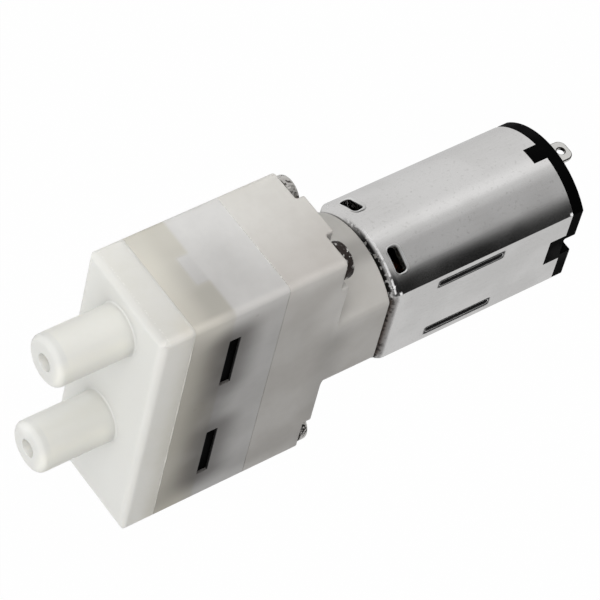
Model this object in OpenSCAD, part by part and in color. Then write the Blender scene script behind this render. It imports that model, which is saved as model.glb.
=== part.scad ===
// Miniature two chamber diaphragm air pump with a flat sided direct current motor.
// Four moulded layers are stacked along the motor axis and held by four screws.
// The motor turns an eccentric wheel. Its inclined pin swings a rocker, and the
// rocker pushes and pulls two rubber cups that draw air in and press it out.
// Part frame: nozzles point to +X, the long side of the block runs along Y and
// the part lies on its broad side, so +Z is the thin direction.
// The origin is the middle of the bounding box, at its bottom.

/* [Pump block] */
// thickness of the block, across its two broad sides
block_t = 12; // [11.5:0.1:14]
// width of the block, along its broad sides
block_w = 28.4; // [28:0.2:36]
// radius of the four long corners of the block
corner_r = 0.6; // [0.3:0.1:1.2]
// radius along the front edges of the cover
front_edge_r = 0.8; // [0.3:0.1:1]
// thickness of the front cover
cover_t = 3.5; // [3.2:0.1:5]
// thickness of the valve plate
valve_plate_t = 4.3; // [4:0.1:6]
// thickness of the diaphragm frame
frame_t = 5.9; // [5.6:0.1:7]
// thickness of the crank housing's block
housing_t = 7.3; // [7:0.1:9]

/* [Nozzles] */
// outer diameter of the two hose nozzles
nozzle_d = 5.1; // [4:0.1:6]
// diameter of the air passage in each nozzle
nozzle_bore_d = 1.8; // [1.6:0.1:2.8]
// length of the nozzles in front of the cover
nozzle_len = 7.9; // [5:0.1:14]
// radius of the rounded rim at each tip
nozzle_tip_r = 0.6; // [0.2:0.05:0.8]
// distance of the inlet nozzle from the middle of the block
inlet_offset = 9.9; // [9.4:0.1:10.4]
// distance of the outlet nozzle from the middle, on the other side
outlet_offset = 3; // [2.6:0.1:4]

/* [Chambers and valves] */
// distance between the two pumping chambers
chamber_pitch = 13.8; // [13.2:0.1:14.4]
// diameter of the frame's bores that hold the rubber cups
cup_bore_d = 9.2; // [8.6:0.1:9.8]
// diameter of the shallow chamber in the valve plate
chamber_d = 8; // [7.6:0.1:8.4]
// depth of that chamber
chamber_depth = 0.9; // [0.7:0.05:1.2]
// distance of each valve from the long middle line
valve_offset = 2.1; // [2:0.05:2.3]
// diameter of the pockets for the valves
valve_pocket_d = 3.6; // [3.4:0.1:3.7]
// diameter of a valve's rubber disc
valve_disc_d = 3.1; // [2.8:0.1:3.2]
// thickness of a valve's rubber disc
valve_disc_t = 0.4; // [0.3:0.05:0.6]
// diameter of a valve's stem
valve_stem_d = 0.8; // [0.6:0.05:1]
// diameter of the small ports around the stem
port_d = 0.6; // [0.4:0.05:0.7]
// thickness of the wall that carries the valves
valve_web = 1.6; // [1.2:0.1:2]

/* [Diaphragm] */
// thickness of the rubber flange between the layers
flange_t = 1.2; // [0.8:0.05:1.4]
// wall of the rubber cups
cup_wall = 0.45; // [0.35:0.05:0.6]
// width of the two rubber edges that show on each broad side
window_w = 6.5; // [5:0.1:7]
// diameter of the stiff crown of each cup
crown_d = 5.6; // [5:0.1:6]
// thickness of the crown
crown_t = 1.3; // [1:0.1:1.6]
// diameter of the neck that holds the rocker
neck_d = 1.6; // [1.2:0.1:2]
// diameter of the retaining head behind the rocker
neck_head_d = 2.5; // [2:0.1:3]

/* [Locating tongue] */
// width of the frame's tongue on each narrow side
tongue_w = 3.4; // [2.4:0.1:5]
// length that the tongue reaches into the valve plate
tongue_len = 1.35; // [0.8:0.05:2]
// depth of the tongue behind the narrow side
tongue_depth = 1; // [0.6:0.1:1.2]

/* [Crank] */
// tilt of the pin against the motor axis, in degrees
pin_tilt = 6; // [4:0.1:6.5]
// diameter of the inclined pin
pin_d = 1.2; // [1:0.05:1.3]
// diameter of the eccentric wheel
wheel_d = 6.4; // [6:0.1:6.6]
// thickness of the eccentric wheel
wheel_t = 4; // [3.8:0.1:4]
// thickness of the rocker's two arms
arm_t = 1.5; // [1.2:0.1:1.6]
// width of the rocker's arms
arm_w = 3.6; // [3:0.1:4.2]
// diameter of the rocker's round ends
arm_end_d = 4.8; // [4.4:0.1:5]
// diameter of the rocker's hub
hub_d = 4.2; // [3.6:0.1:4.4]

/* [Collar] */
// diameter of the collar that carries the motor
collar_d = 14.6; // [14.4:0.1:15]
// height across the collar's two flats
collar_flat = 12; // [11.4:0.1:12]
// length of the collar
collar_len = 6; // [6:0.1:8]
// wall of the collar
collar_wall = 1; // [0.8:0.1:1.1]
// wall that the motor is screwed to
mount_wall = 1.4; // [1.2:0.1:1.6]

/* [Screws] */
// distance of the block screws from the broad sides
screw_off_t = 1.7; // [1.6:0.1:2]
// distance of the block screws from the narrow sides
screw_off_w = 1.8; // [1.6:0.1:2.1]
// thread diameter of the block screws
screw_d = 1.9; // [1.6:0.1:2]
// length of the block screws below the head
screw_len = 18; // [17:0.5:18.5]
// head diameter of the block screws
screw_head_d = 3.6; // [3:0.1:3.8]
// head height of the block screws
screw_head_t = 1; // [0.9:0.1:1.4]
// depth of the recess under each block screw head
corner_recess = 0.9; // [0.5:0.1:1.4]
// half width of the raised rear face between the recesses, in thickness
rib_half_t = 2.5; // [2:0.1:2.6]
// half width of the raised rear face between the recesses, in width
rib_half_w = 10.2; // [9.8:0.1:10.3]
// distance between the two motor screws
motor_screw_pitch = 10; // [9.8:0.1:10]
// thread diameter of the motor screws
motor_screw_d = 1.7; // [1.5:0.1:1.8]
// length of the motor screws below the head
motor_screw_len = 2.9; // [2.6:0.1:3]
// head diameter of the motor screws
motor_head_d = 2.7; // [2.4:0.1:2.8]
// head height of the motor screws
motor_head_t = 1; // [0.8:0.1:1]

/* [Motor] */
// diameter of the motor can
can_d = 15.5; // [15.3:0.1:16]
// height across the can's two flats
can_flat = 12.2; // [12:0.1:13]
// length of the can
can_len = 21.5; // [21.3:0.1:26]
// sheet thickness of the can
can_wall = 0.8; // [0.6:0.05:0.9]
// radius of the can's front rim
can_rim_r = 1.1; // [0.9:0.1:1.3]
// diameter of the front boss that holds the bearing
boss_d = 6; // [5.6:0.1:6]
// height of that boss
boss_h = 1.3; // [1.1:0.1:1.4]
// diameter of the motor shaft
shaft_d = 1.5; // [1.3:0.1:1.5]
// length of the two slots in each flat
slot_len = 7.6; // [4:0.1:9]
// width of those slots
slot_w = 0.8; // [0.5:0.1:1]
// distance between those slots
slot_pitch = 7; // [6:0.1:7.6]
// distance from the can's front to those slots
slot_start = 5.8; // [4:0.1:7]
// width of the four vent openings near the can's front
vent_w = 2.6; // [1.6:0.1:3]
// length of the vent openings along the can
vent_len = 1.2; // [0.8:0.1:1.6]
// distance from the can's round front rim to the vent openings
vent_lead = 0.2; // [0:0.1:1]
// corner radius of the vent openings
vent_r = 0.3; // [0.1:0.05:0.39]
// angle of the vent openings from the narrow side, in degrees
vent_angle = 28; // [24:1:36]
// outer diameter of the armature
armature_d = 9.8; // [9.4:0.1:9.9]
// length of the armature stack
armature_len = 10.5; // [8:0.1:10.6]
// length of the two magnets
magnet_len = 12.5; // [10:0.1:13]
// outer diameter of the commutator
commutator_d = 3.5; // [3.2:0.1:3.8]

/* [End cap and terminals] */
// thickness of the end cap's flange
cap_t = 1.3; // [1:0.1:1.8]
// depth of the cap's plug inside the can
plug_len = 3; // [2.8:0.1:3.2]
// width of the notch in each curved side of the can
side_notch_w = 1.85; // [1.4:0.05:2.4]
// length of that notch
side_notch_len = 1.55; // [1:0.05:2]
// width of the notch in each flat of the can
flat_notch_w = 3.4; // [2.4:0.1:4]
// length of that notch
flat_notch_len = 1.9; // [1.2:0.1:2.2]
// width of the gap in the cap's flange at each flat
cap_gap_w = 2.2; // [1.4:0.1:3]
// width of each solder lug
lug_w = 2.3; // [1.8:0.1:2.6]
// thickness of each solder lug
lug_t = 0.4; // [0.3:0.05:0.5]
// length of each solder lug behind the cap
lug_len = 2.4; // [1.8:0.1:4]
// corner radius at the end of each solder lug
lug_end_r = 0.8; // [0.2:0.05:0.89]
// diameter of the hole in each lug
lug_hole_d = 0.8; // [0.6:0.05:1]
// distance of each lug from the motor axis
lug_offset = 6; // [5.8:0.1:6.1]

/* [Clearances] */
// gap around pieces that fit into each other
fit_gap = 0.05; // [0.03:0.01:0.08]
// radial clearance of the turning fits
run_gap = 0.04; // [0.02:0.01:0.06]
// radial clearance of the block screws in the housing and frame
screw_gap = 0.1; // [0.05:0.05:0.15]
// smallest gap between the rocker and what it swings past
swing_gap = 0.35; // [0.3:0.05:0.5]
// smallest gap between the armature and the magnets
air_gap = 0.35; // [0.3:0.05:0.4]
// gap around the block screws' heads in their recesses
head_gap = 0.15; // [0.1:0.05:0.4]

/* [Hidden] */
$fn = 64;
eps = 0.02;

// layer positions along the motor axis, counted from the cover's front face
w_plate = cover_t;
w_frame = w_plate + valve_plate_t;
w_house = w_frame + frame_t;
w_collar = w_house + housing_t;
w_can = w_collar + collar_len;
w_cap = w_can + can_len;
w_lug = w_cap + cap_t;
w_end = w_lug + lug_len;

// part frame: middle of the whole length at X = 0, lowest face at Z = 0
x_front = (nozzle_len + w_end) / 2 - nozzle_len;
z_mid = max(block_t, can_flat) / 2;

// overshoot of cuts, so that no skin is left
cut = 1;

screw_t = block_t / 2 - screw_off_t;
screw_y = block_w / 2 - screw_off_w;
screw_hole_r = screw_d / 2 + screw_gap;
thread_bite = 0.1;
tip_gap = 0.3;
screw_wall = 0.8;

chamber_y = chamber_pitch / 2;
w_seat_in = w_frame - chamber_depth;
w_seat_out = w_seat_in - valve_web;
nozzle_root = 1;
plenum_w = 1.4;
plenum_floor = 1.3;
plenum_inset = 0.2;
channel_out = valve_offset + valve_pocket_d / 2 - plenum_inset;
channel_half = 0.85;

// the rubber flange ends inside the tongues, and around the screws
flange_edge = tongue_depth + 2 * fit_gap;
flange_boss_wall = 0.5;
window_reveal = 0.25;
w_cup = w_frame + flange_t;
cup_gap = 0.35;
cup_fold = 0.4;
cup_root = 0.5;
crown_inset = 0.1;

// the swing centre lies on the motor axis, just in front of the housing
swing_lead = 0.7;
w_swing = w_house - swing_lead;
arm_reach = chamber_y + arm_end_d / 2;
swing_drop = arm_reach * sin(pin_tilt);
arm_front = swing_lead + swing_drop + swing_gap;
arm_back = arm_front + arm_t;
neck_head_t = 0.9;
pad_inset = 0.5;
hub_len = 3.3;
hub_back = arm_back + hub_len;
hub_edge = hub_back * cos(pin_tilt) + hub_d / 2 * sin(pin_tilt);
hub_end_wall = 0.8;
pin_play = 0.1;
pin_seat = 1.7;
w_wheel = w_swing + hub_edge + swing_gap;
pin_back = (w_wheel - w_swing + pin_seat) / cos(pin_tilt);
pin_front = arm_front + hub_end_wall + pin_play;
shaft_stop = 1.95;
w_shaft = w_wheel + shaft_stop;
cavity_wall = 1.5;
cavity_half_t = block_t / 2 - cavity_wall;
cavity_half_w = arm_reach + arm_back * sin(pin_tilt) + swing_gap;
cavity_floor = w_collar - cavity_wall;
w_motor_seat = w_can - mount_wall;

shaft_r = shaft_d / 2;
shaft_hole_gap = 0.4;
bearing_r = boss_d / 2 - can_wall;
bearing_lip = 0.3;
bearing_stand = 0.4;
w_boss = w_can - boss_h;
can_in_r = can_d / 2 - can_wall;
can_in_flat = can_flat / 2 - can_wall;
can_in_rim_r = can_rim_r - 0.6 * can_wall;
wall_cut = 3 * can_wall;
core_start = 4.5;
w_core = w_can + core_start;
w_core_end = w_core + armature_len;
w_magnet = w_core + armature_len / 2 - magnet_len / 2;
magnet_from_axis = 1.2;
magnet_inset = 0.8;
core_r = 2;
shoe_t = 0.9;
shoe_in = armature_d / 2 - shoe_t;
pole_w = 1.8;
pole_gap = 1.4;
coil_w = 3.4;
coil_out = 1.2;
end_play = 0.2;
front_washer_r = 1.5;
rear_washer_r = 1.25;
comm_start = 4.6;
w_comm = w_cap - comm_start;
comm_len = 3.2;
comm_lip = 0.2;
comm_lip_t = 0.5;
segment_t = 0.35;
segment_gap = 0.3;
rear_bearing_lead = 0.7;
w_rear_bearing = w_cap - rear_bearing_lead;
rear_bearing_len = 1.8;
rear_bearing_r = 1.9;
plug_r = can_in_r - fit_gap;
plug_flat = can_in_flat - fit_gap;
plug_wall = 0.85;
tab_reach = 2;
cap_boss_wall = 0.9;
cap_boss_h = 0.8;
cap_gap_depth = 1;
brush_t = 1.3;
brush_len = 1.2;
w_brush = w_comm + 1.9;
brush_face = commutator_d / 2 + run_gap;
arm_slot_gap = 0.3;
arm_slot_back = 1.2;
lug_hole_place = 0.62 * lug_len;

white_cover = [0.90, 0.90, 0.87];
warm_plate = [0.80, 0.79, 0.72];
cool_white = [0.86, 0.88, 0.89];
white_house = [0.88, 0.88, 0.86];
black_rubber = [0.06, 0.06, 0.06];
bright_nickel = [0.78, 0.78, 0.77];
screw_steel = [0.62, 0.62, 0.60];
black_plastic = [0.05, 0.05, 0.05];
brass_tone = [0.80, 0.66, 0.36];
copper_tone = [0.72, 0.42, 0.25];
bronze_tone = [0.60, 0.45, 0.28];
core_steel = [0.45, 0.45, 0.46];
magnet_grey = [0.22, 0.22, 0.23];

// turns a shape drawn with its length along Z so that it runs back from the cover
module place() {
    translate([x_front, 0, z_mid]) rotate([0, -90, 0]) children();
}

module at(w) {
    translate([0, 0, w]) children();
}

module on_axis(t, y, w) {
    translate([t, y, w]) children();
}

// the pin's own frame, tilted about the swing centre
module tilted() {
    translate([0, 0, w_swing]) rotate([0, pin_tilt, 0]) children();
}

module each_corner() {
    for (a = [-1, 1], b = [-1, 1])
        translate([a * screw_t, b * screw_y, 0]) children();
}

module each_chamber() {
    for (b = [-1, 1]) translate([0, b * chamber_y, 0]) children();
}

module both_sides() {
    for (b = [0, 1]) mirror([0, b, 0]) children();
}

module both_flats() {
    for (a = [0, 1]) mirror([a, 0, 0]) children();
}

module box(t0, t1, y0, y1, w0, w1) {
    translate([t0, y0, w0]) cube([t1 - t0, y1 - y0, w1 - w0]);
}

module rod(r, w0, w1) {
    translate([0, 0, w0]) cylinder(r = r, h = w1 - w0);
}

// rectangle with round corners
module round_rect(length, width, r) {
    square([length - 2 * r, width], center = true);
    square([length, width - 2 * r], center = true);
    for (a = [-1, 1], b = [-1, 1])
        translate([a * (length / 2 - r), b * (width / 2 - r)]) circle(r = r);
}

// slot with round ends
module slot_outline(length, width) {
    square([length - width, width], center = true);
    for (a = [-1, 1]) translate([a * (length - width) / 2, 0]) circle(d = width);
}

module layer(w0, w1) {
    at(w0) linear_extrude(height = w1 - w0) round_rect(block_t, block_w, corner_r);
}

// side view of a slab whose two front edges are round
module round_nose(width, length, r) {
    translate([-width / 2, r]) square([width, length - r]);
    translate([-width / 2 + r, 0]) square([width - 2 * r, length]);
    for (a = [-1, 1]) translate([a * (width / 2 - r), r]) circle(r = r);
}

// the same side view, drawn out across the thickness or across the width
module nose_across_width(width, length, r, across) {
    rotate([90, 0, 0]) linear_extrude(height = across, center = true)
        round_nose(width, length, r);
}

module nose_across_thickness(width, length, r, across) {
    rotate([90, 0, 90]) linear_extrude(height = across, center = true)
        round_nose(width, length, r);
}

// round profile with two flats, as the motor and the collar have
module flat_round(d, flats) {
    intersection() {
        circle(d = d);
        square([flats, d + 2], center = true);
    }
}

module flat_round_rod(d, flats, w0, w1) {
    at(w0) linear_extrude(height = w1 - w0) flat_round(d, flats);
}

// turned drum with a round front rim
module drum(r, length, e) {
    rotate_extrude() {
        square([r - e, length]);
        translate([0, e]) square([r, length - e]);
        translate([r - e, e]) circle(r = e);
    }
}

// nozzle with a round rim, open end forward
module nozzle_outside() {
    length = nozzle_len + nozzle_root;
    mirror([0, 0, 1]) translate([0, 0, -nozzle_root]) rotate_extrude() {
        square([nozzle_d / 2, length - nozzle_tip_r]);
        square([nozzle_d / 2 - nozzle_tip_r, length]);
        translate([nozzle_d / 2 - nozzle_tip_r, length - nozzle_tip_r])
            circle(r = nozzle_tip_r);
    }
}

// umbrella valve: disc above the seat at zero, stem and bulb below
module umbrella() {
    disc_r = valve_disc_d / 2;
    stem_r = valve_stem_d / 2;
    bulb_r = stem_r + 0.2;
    edge_t = valve_disc_t * 0.45;
    bulb_low = -valve_web - 0.15;
    bulb_end = -valve_web - 0.55;
    rotate_extrude() polygon([
        [0, valve_disc_t], [disc_r / 2, valve_disc_t], [disc_r, edge_t], [disc_r, 0],
        [stem_r, 0], [stem_r, -valve_web], [bulb_r, -valve_web], [bulb_r, bulb_low],
        [stem_r / 2, bulb_end], [0, bulb_end]
    ]);
}

module valve_holes() {
    rod(valve_stem_d / 2 + fit_gap / 2, w_seat_out - cut, w_seat_in + cut);
    for (k = [0 : 3]) rotate([0, 0, 45 + 90 * k])
        translate([(valve_disc_d + valve_stem_d) / 4, 0, 0])
            rod(port_d / 2, w_seat_out - cut, w_seat_in + cut);
}

// pan head screw, head up from zero and shank below, with a cross recess
module pan_screw(head_d, head_t, shank_d, tip_d, length, tip_len) {
    e = head_t * 0.4;
    cone = 0.5;
    cross_len = head_d * 0.54;
    cross_w = head_d * 0.13;
    difference() {
        rotate_extrude() {
            square([head_d / 2, head_t - e]);
            square([head_d / 2 - e, head_t]);
            translate([head_d / 2 - e, head_t - e]) circle(r = e);
            translate([0, -(length - tip_len)]) square([shank_d / 2, length - tip_len]);
            translate([0, -length + cone]) square([tip_d / 2, tip_len]);
            polygon([[0, -length], [tip_d / 2, -length + cone], [0, -length + cone]]);
        }
        for (q = [0, 90]) rotate([0, 0, q])
            translate([-cross_len / 2, -cross_w / 2, head_t * 0.45])
                cube([cross_len, cross_w, head_t]);
    }
}

// air channels in the cover's rear face, from nozzle to valve pockets
module cover_channels() {
    box(-valve_offset - channel_half, channel_half, -inlet_offset - channel_half,
        -inlet_offset + channel_half, plenum_floor, cover_t + cut);
    box(-valve_offset - channel_half, -valve_offset + channel_half, -inlet_offset,
        -chamber_y, plenum_floor, cover_t + cut);
    box(0, channel_out, outlet_offset - channel_half, outlet_offset + channel_half,
        plenum_floor, cover_t + cut);
    both_flats() box(channel_out - plenum_w, channel_out, -chamber_y, chamber_y,
        plenum_floor, cover_t + cut);
}

module front_cover() {
    color(white_cover) place() difference() {
        union() {
            intersection() {
                layer(0, cover_t);
                nose_across_width(block_t, cover_t + cut, front_edge_r, block_w + cut);
                nose_across_thickness(block_w, cover_t + cut, front_edge_r, block_t + cut);
            }
            on_axis(0, -inlet_offset, 0) nozzle_outside();
            on_axis(0, outlet_offset, 0) nozzle_outside();
        }
        for (y = [-inlet_offset, outlet_offset]) on_axis(0, y, 0)
            rod(nozzle_bore_d / 2, -nozzle_len - cut, cover_t - eps);
        each_chamber() for (a = [-1, 1]) on_axis(a * valve_offset, 0, 0)
            rod(valve_pocket_d / 2, plenum_floor, cover_t + cut);
        cover_channels();
        each_corner() rod(screw_d / 2 - thread_bite,
            w_collar - corner_recess - screw_len - tip_gap, cover_t + cut);
    }
}

module valve_plate() {
    color(warm_plate) place() difference() {
        layer(w_plate, w_frame);
        each_chamber() {
            rod(chamber_d / 2, w_seat_in, w_frame + cut);
            for (a = [-1, 1]) on_axis(a * valve_offset, 0, 0) {
                rod(valve_pocket_d / 2, w_plate - cut, w_seat_out);
                valve_holes();
            }
        }
        each_corner() rod(screw_d / 2 - thread_bite, w_plate - cut, w_frame + cut);
        both_sides() box(-tongue_w / 2, tongue_w / 2, block_w / 2 - tongue_depth,
            block_w / 2 + cut, w_frame - tongue_len, w_frame + cut);
    }
}

module inlet_valves() {
    color(black_rubber) place()
        each_chamber() on_axis(-valve_offset, 0, w_seat_in) umbrella();
}

module outlet_valves() {
    color(black_rubber) place()
        each_chamber() on_axis(valve_offset, 0, w_seat_out) mirror([0, 0, 1]) umbrella();
}

// outline of the rubber flange, with a notch around each block screw
module flange_outline(grow) {
    difference() {
        square([block_t - 2 * flange_edge + 2 * grow, block_w - 2 * flange_edge + 2 * grow],
            center = true);
        each_corner() circle(r = screw_hole_r + flange_boss_wall + fit_gap - grow);
    }
}

// rubber part between valve plate and frame, with two cups, crowns and necks
module diaphragm() {
    top_r = cup_bore_d / 2 - cup_gap;
    low_r = crown_d / 2 - crown_inset;
    w_crown = w_swing - crown_t / 2;
    color(black_rubber) place() {
        at(w_frame) linear_extrude(height = flange_t) difference() {
            union() {
                flange_outline(0);
                each_chamber() square([block_t - 2 * window_reveal, window_w], center = true);
            }
            each_chamber() circle(r = top_r - cup_wall);
        }
        each_chamber() rotate_extrude() polygon([
            [top_r - cup_wall, w_cup - cup_root], [top_r, w_cup - cup_root],
            [top_r, w_cup + cup_fold], [low_r, w_crown], [low_r - cup_wall, w_crown],
            [top_r - cup_wall, w_cup + cup_fold]
        ]);
        tilted() each_chamber() {
            rod(crown_d / 2, -crown_t, 0);
            rod(neck_d / 2, -eps, arm_back + fit_gap + eps);
            at(arm_back + fit_gap) rotate_extrude() polygon([
                [0, 0], [neck_head_d / 2, 0], [neck_head_d / 2, neck_head_t * 0.4],
                [neck_head_d / 3, neck_head_t], [0, neck_head_t]
            ]);
        }
    }
}

module diaphragm_frame() {
    color(cool_white) place() {
        difference() {
            union() {
                layer(w_frame, w_house);
                both_sides() box(-tongue_w / 2 + fit_gap, tongue_w / 2 - fit_gap,
                    block_w / 2 - tongue_depth + fit_gap, block_w / 2,
                    w_frame - tongue_len + fit_gap, w_frame + flange_t / 2);
            }
            at(w_frame - cut) linear_extrude(height = flange_t + cut) difference() {
                flange_outline(fit_gap);
                // the tongues keep their root
                both_sides() translate([0, block_w / 2])
                    square([tongue_w - 2 * fit_gap, 2 * (tongue_depth - fit_gap)],
                        center = true);
            }
            each_chamber() at(w_frame - cut) linear_extrude(height = flange_t + cut)
                square([block_t + 2 * cut, window_w + 2 * fit_gap], center = true);
            each_chamber() rod(cup_bore_d / 2, w_frame - cut, w_house + cut);
            each_corner() rod(screw_hole_r, w_frame - cut, w_house + cut);
        }
    }
}

// the four corners outside t0 and y0
module corner_areas(t0, y0) {
    for (a = [-1, 1], b = [-1, 1])
        translate([a * (t0 + block_w / 2), b * (y0 + block_w / 2)])
            square(block_w, center = true);
}

// recess of each block screw: open to both sides, round around the head
module recess_outline() {
    pocket_r = screw_head_d / 2 + head_gap;
    corner_areas(rib_half_t, rib_half_w);
    corner_areas(screw_t - pocket_r, screw_y);
    corner_areas(screw_t, screw_y - pocket_r);
    each_corner() circle(r = pocket_r);
}

module crank_housing() {
    color(white_house) place() difference() {
        union() {
            layer(w_house, w_collar);
            flat_round_rod(collar_d, collar_flat, w_collar - cut, w_can);
        }
        at(w_collar - corner_recess) linear_extrude(height = corner_recess + cut)
            recess_outline();
        difference() {
            box(-cavity_half_t, cavity_half_t, -cavity_half_w, cavity_half_w,
                w_house - cut, cavity_floor);
            each_corner() rod(screw_hole_r + screw_wall, w_house - 2 * cut, w_collar);
        }
        flat_round_rod(collar_d - 2 * collar_wall, collar_flat - 2 * collar_wall,
            cavity_floor - cut, w_motor_seat);
        rod(boss_d / 2 + fit_gap, w_motor_seat - cut, w_can + cut);
        both_sides() on_axis(0, motor_screw_pitch / 2, 0) {
            rod(motor_screw_d / 2 + fit_gap, w_motor_seat - cut, w_can + cut);
            rod(motor_head_d / 2 + fit_gap, cavity_floor - cut, w_motor_seat);
        }
        each_corner() rod(screw_hole_r, w_house - cut, w_collar + cut);
    }
}

module housing_screws() {
    color(screw_steel) place() each_corner()
        on_axis(0, 0, w_collar - corner_recess)
            pan_screw(screw_head_d, screw_head_t, screw_d, screw_d - 3 * thread_bite,
                screw_len, w_frame - (w_collar - corner_recess - screw_len));
}

module motor_screws() {
    tip_len = 0.6;
    color(screw_steel) place() for (b = [-1, 1])
        on_axis(0, b * motor_screw_pitch / 2, w_motor_seat) mirror([0, 0, 1])
            pan_screw(motor_head_d, motor_head_t, motor_screw_d, motor_screw_d,
                motor_screw_len, tip_len);
}

module can_shell(r, flats, length, e) {
    intersection() {
        drum(r, length, e);
        nose_across_width(flats, length + 1, e, 2 * r + 2);
    }
}

module motor_can() {
    color(bright_nickel) place() difference() {
        union() {
            at(w_can) can_shell(can_d / 2, can_flat, can_len, can_rim_r);
            rod(boss_d / 2, w_boss, w_can + can_wall);
        }
        at(w_can + can_wall) can_shell(can_in_r, 2 * can_in_flat, can_len + cut,
            can_in_rim_r);
        rod(bearing_r, w_boss + bearing_lip, w_can + can_wall + cut);
        rod(shaft_r + shaft_hole_gap, w_boss - cut, w_can);
        for (b = [-1, 1]) on_axis(0, b * motor_screw_pitch / 2, 0)
            rod(motor_screw_d / 2 + fit_gap / 2, w_can - cut, w_can + can_wall + cut);
        for (a = [-1, 1], b = [-1, 1])
            translate([a * can_flat / 2, b * slot_pitch / 2,
                       w_can + slot_start + slot_len / 2])
                rotate([0, 90, 0]) linear_extrude(height = wall_cut, center = true)
                    slot_outline(slot_len, slot_w);
        for (q = [-vent_angle, vent_angle, 180 - vent_angle, 180 + vent_angle])
            rotate([0, 0, q]) translate([0, can_d / 2, w_can + can_rim_r + vent_lead + vent_len / 2])
                rotate([90, 0, 0]) linear_extrude(height = wall_cut, center = true)
                    round_rect(vent_w, vent_len, vent_r);
        for (b = [-1, 1])
            translate([0, b * can_d / 2, w_cap]) cube([side_notch_w, wall_cut,
                2 * side_notch_len], center = true);
        for (a = [-1, 1])
            translate([a * can_flat / 2, 0, w_cap]) cube([wall_cut, flat_notch_w,
                2 * flat_notch_len], center = true);
    }
}

module magnets() {
    inner_r = armature_d / 2 + air_gap;
    flat = can_in_flat - magnet_inset;
    color(magnet_grey) place() both_sides()
        intersection() {
            difference() {
                rod(can_in_r - fit_gap / 2, w_magnet, w_magnet + magnet_len);
                rod(inner_r, w_magnet - cut, w_magnet + magnet_len + cut);
            }
            box(-flat, flat, magnet_from_axis, can_d, w_magnet - cut,
                w_magnet + magnet_len + cut);
        }
}

module sleeve(r_out, r_in, w0, w1) {
    difference() {
        rod(r_out, w0, w1);
        rod(r_in, w0 - cut, w1 + cut);
    }
}

module front_bearing() {
    color(bronze_tone) place()
        sleeve(bearing_r, shaft_r + run_gap, w_boss + bearing_lip,
            w_can + can_wall + bearing_stand);
}

module rear_bearing() {
    color(bronze_tone) place()
        sleeve(rear_bearing_r, shaft_r + run_gap, w_rear_bearing,
            w_rear_bearing + rear_bearing_len);
}

// tabs that fill the notches of the can
module cap_tabs() {
    intersection() {
        flat_round_rod(can_d, can_flat, w_cap - plug_len, w_cap + eps);
        union() {
            both_sides() box(-side_notch_w / 2 + fit_gap, side_notch_w / 2 - fit_gap,
                can_d / 2 - tab_reach, can_d, w_cap - side_notch_len + fit_gap, w_lug);
            both_flats() box(can_flat / 2 - tab_reach, can_flat,
                -flat_notch_w / 2 + fit_gap, flat_notch_w / 2 - fit_gap,
                w_cap - flat_notch_len + fit_gap, w_lug);
        }
    }
}

module end_cap() {
    bearing_end = w_rear_bearing + rear_bearing_len;
    slot_half = brush_t / 2 + arm_slot_gap;
    color(black_plastic) place() difference() {
        union() {
            flat_round_rod(can_d, can_flat, w_cap, w_lug);
            flat_round_rod(2 * plug_r, 2 * plug_flat, w_cap - plug_len, w_cap + eps);
            rod(rear_bearing_r + cap_boss_wall, w_cap, w_lug + cap_boss_h);
            cap_tabs();
        }
        rod(plug_flat - plug_wall, w_cap - plug_len - cut, w_cap - end_play);
        rod(shaft_r + shaft_hole_gap, w_cap - cut, bearing_end);
        rod(rear_bearing_r, w_rear_bearing - cut, bearing_end);
        both_sides() {
            box(-lug_w / 2 - fit_gap, lug_w / 2 + fit_gap, lug_offset - lug_t / 2 - fit_gap,
                lug_offset + lug_t / 2 + fit_gap, w_cap - plug_len - cut, w_lug + cut);
            box(-slot_half, slot_half, 0, lug_offset, w_cap - plug_len - cut,
                w_brush + lug_t / 2 + arm_slot_back);
        }
        both_flats() box(can_flat / 2 - cap_gap_depth, can_flat, -cap_gap_w / 2,
            cap_gap_w / 2, w_cap, w_lug + cut);
    }
}

module brushes() {
    color(magnet_grey) place() both_sides()
        box(-brush_t / 2, brush_t / 2, brush_face, brush_face + brush_len,
            w_brush - brush_len / 2, w_brush + brush_len / 2);
}

module terminals() {
    color(brass_tone) place() both_sides() difference() {
        union() {
            translate([0, lug_offset, w_end]) rotate([-90, 0, 0])
                linear_extrude(height = lug_t, center = true)
                    round_nose(lug_w, w_end - w_brush + lug_t / 2, lug_end_r);
            box(-brush_t / 2, brush_t / 2, brush_face + brush_len, lug_offset,
                w_brush - lug_t / 2, w_brush + lug_t / 2);
        }
        translate([0, lug_offset, w_lug + lug_hole_place])
            rotate([90, 0, 0]) cylinder(d = lug_hole_d, h = lug_t + cut, center = true);
    }
}

module motor_shaft() {
    color(screw_steel) place()
        rod(shaft_r, w_shaft, w_rear_bearing + rear_bearing_len - end_play);
}

module armature_sheet() {
    difference() {
        union() {
            circle(r = core_r);
            for (k = [0 : 2]) rotate(120 * k)
                translate([-pole_w / 2, core_r / 2])
                    square([pole_w, shoe_in + shoe_t / 2 - core_r / 2]);
            difference() {
                circle(d = armature_d);
                circle(r = shoe_in);
                for (k = [0 : 2]) rotate(60 + 120 * k)
                    translate([-pole_gap / 2, core_r]) square([pole_gap, can_d]);
            }
        }
        circle(r = shaft_r);
    }
}

module armature_core() {
    color(core_steel) place() at(w_core)
        linear_extrude(height = armature_len) armature_sheet();
}

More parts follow.
